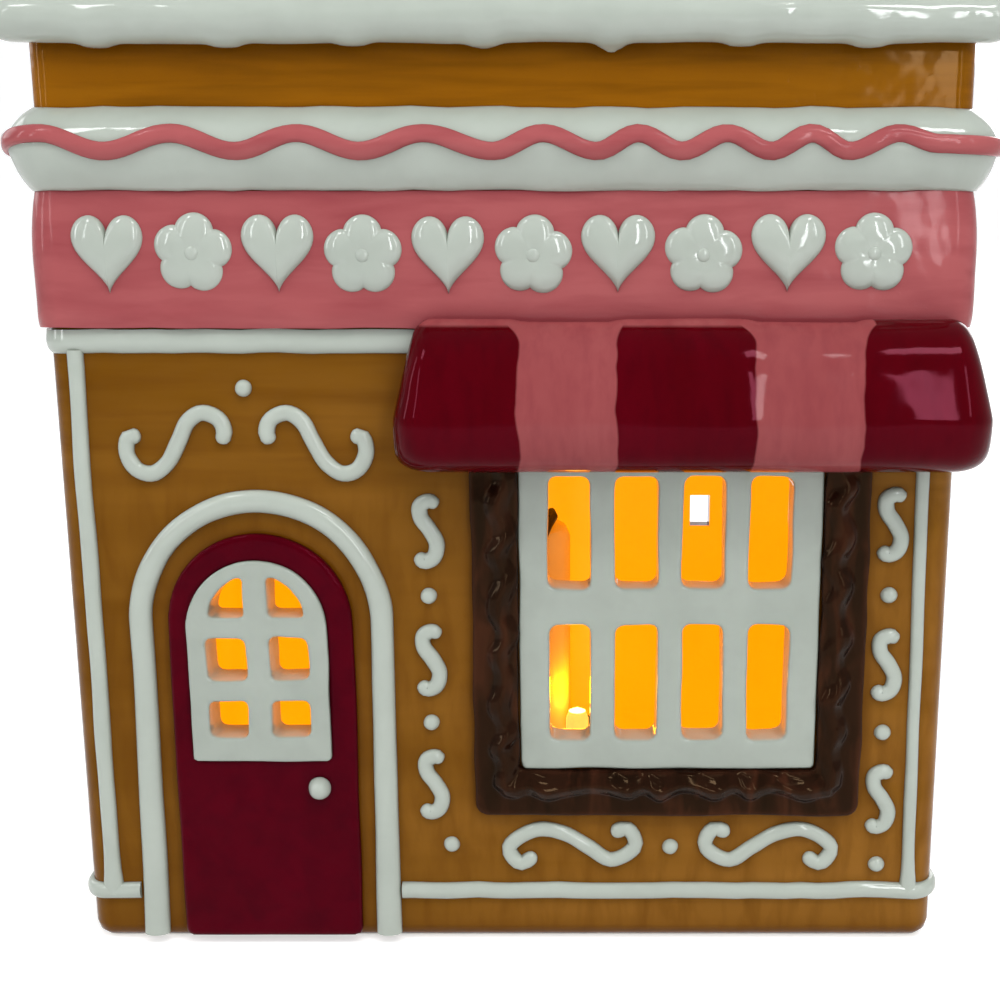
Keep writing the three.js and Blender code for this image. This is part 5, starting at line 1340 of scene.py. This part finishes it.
CAD_LOOKS = [
    ("battery_housing", warm_plastic, 0.35),
    ("base_plate", white_plastic, 0.3),
    ("housing_gasket", silicone, 0.2),
    ("plate_screw_1 plate_screw_2 plate_screw_3", steel, 0.12),
    ("led_board", board_green, 0.1),
    ("led_1 led_2 led_3", led_lens, 0.2),
    ("wire_grommet", black_rubber, 0.2),
    ("led_lead", black_rubber, 0.0),
    ("control_board", board_green, 0.1),
    ("switch_body", grey_plastic, 0.2),
    ("switch_knob", black_plastic, 0.15),
    ("battery_cap", white_plastic, 0.3),
    ("cap_seal", black_rubber, 0.15),
    ("battery_carrier", grey_plastic, 0.25),
    ("battery_1 battery_2 battery_3", cell_sleeve, 0.2),
    ("lower_contact upper_contact", steel, 0.05),
]
for nodes, material, edge in CAD_LOOKS:
    for node in nodes.split():
        piece = copied_node(node)
        if edge:
            bevel(piece, edge, 2, 45)
        finish_piece(piece, material, node, 40)
        weigh_normals(piece)


# Lamps inside the shop, a little over each lens

def lamp(name, kind, place, watts, colour):
    data = bpy.data.lights.new(name, kind)
    data.energy = watts
    data.color = colour
    holder = add_object(name, data)
    holder.location = place
    return holder


for i in (1, 2, 3):
    low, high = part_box(f"led_{i}")
    middle = (low + high) / 2
    glow = lamp(f"led_glow_{i}", "POINT", (middle.x, middle.y, high.z + LED_RISE), LED_WATTS, AMBER)
    glow.data.shadow_soft_size = LED_RADIUS
    glow.visible_camera = False


# Studio: plain pale floor swept up behind, soft lamps, dim plain world; all in metres

def seen_rays(tree):
    """1 for rays that come from the camera, off gloss or through glass, and 0 for others."""
    rays = tree.nodes.new("ShaderNodeLightPath").outputs
    seen = rays["Is Camera Ray"]
    for ray in ("Is Glossy Ray", "Is Transmission Ray"):
        either = tree.nodes.new("ShaderNodeMath")
        either.operation = "MAXIMUM"
        tree.links.new(seen, either.inputs[0])
        tree.links.new(rays[ray], either.inputs[1])
        seen = either.outputs[0]
    return seen


def make_floor():
    """Pale paper that is clear from behind, so a camera at the back looks through it."""
    front, back, half_width, height, bend = -6.0, 0.9, 6.0, 2.5, 0.5
    rows = [(front, 0.0), (-0.6, 0.0), (0.0, 0.0), (back, 0.0)]
    for a in (math.pi / 2 * k / 12 for k in range(1, 13)):
        rows.append((back + bend * math.sin(a), bend * (1 - math.cos(a))))
    rows.append((back + bend, height))
    points = [(x / MM, y / MM, z / MM) for y, z in rows for x in (-half_width, half_width)]
    faces = [(2 * i, 2 * i + 1, 2 * i + 3, 2 * i + 2) for i in range(len(rows) - 1)]
    floor = mesh_object("floor", points, faces)
    floor.data.shade_smooth()
    s = Shader("pale_paper")
    s.set(Base_Color=s.over(s.noise(60, 3.0), 0.3, 0.7, rgb(238, 238, 238), rgb(234, 234, 234)))
    s.set(Roughness=0.85, Specular_IOR_Level=0.1)
    glow = s.maths("MULTIPLY", seen_rays(s.tree), PAPER_GLOW)
    s.set(Emission_Color=(1.0, 1.0, 1.0, 1.0), Emission_Strength=glow)
    pick = s.add("MixShader")
    s.link(s.add("NewGeometry").outputs["Backfacing"], pick.inputs[0])
    s.link(s.bsdf.outputs[0], pick.inputs[1])
    s.link(s.add("BsdfTransparent").outputs[0], pick.inputs[2])
    s.link(pick.outputs[0], s.tree.nodes["Material Output"].inputs["Surface"])
    floor.data.materials.append(s.material)


def make_world():
    """Dim plain light, which the camera, gloss and glass see as a pale backdrop."""
    world = bpy.data.worlds.new("studio")
    world.use_nodes = True
    tree = world.node_tree
    background = tree.nodes["Background"]
    background.inputs["Color"].default_value = (0.95, 0.97, 1.0, 1)
    strength = tree.nodes.new("ShaderNodeMapRange")
    tree.links.new(seen_rays(tree), strength.inputs["Value"])
    strength.inputs["To Min"].default_value = WORLD_LIGHT
    strength.inputs["To Max"].default_value = WORLD_SEEN
    tree.links.new(strength.outputs["Result"], background.inputs["Strength"])
    scene.world = world


make_floor()
make_world()

# Name, place, watts, colour, width and height of each area lamp
STUDIO_LAMPS = [
    ("top", (0.1, -0.5, 1.05), 5.9, (1.0, 0.99, 0.98), 0.8, 0.7),
    ("glint_right", (0.42, -0.62, 1.0), 1.9, (1, 1, 1), 0.3, 0.13),
    ("glint_left", (-0.5, -0.6, 0.95), 1.2, (1, 1, 1), 0.14, 0.22),
    ("tall_right", (0.34, -0.95, 0.42), 1.9, (0.97, 0.98, 1.0), 0.07, 0.6),
    ("fill_right", (0.78, -0.95, 0.52), 1.6, (0.98, 0.99, 1.0), 0.1, 0.6),
    ("fill_left", (-0.78, -0.95, 0.52), 1.2, (0.98, 0.99, 1.0), 0.06, 0.6),
    ("strip_left", (-0.85, -0.35, 0.45), 1.2, (0.97, 0.98, 1.0), 0.08, 0.6),
    ("back", (0.5, 1.0, 0.6), 6.5, (1, 1, 1), 0.8, 0.6),
    ("side_left", (-1.1, 0.35, 0.6), 2.5, (1, 1, 1), 0.6, 0.6),
]
for name, place, watts, colour, width, height in STUDIO_LAMPS:
    holder = lamp(name, "AREA", place, watts, colour)
    holder.data.shape = "RECTANGLE"
    holder.data.size = width
    holder.data.size_y = height
    holder.rotation_euler = (Vector(LAMPS_AIM) - Vector(place)).to_track_quat("-Z", "Y").to_euler()
    holder.visible_glossy = name != "top"
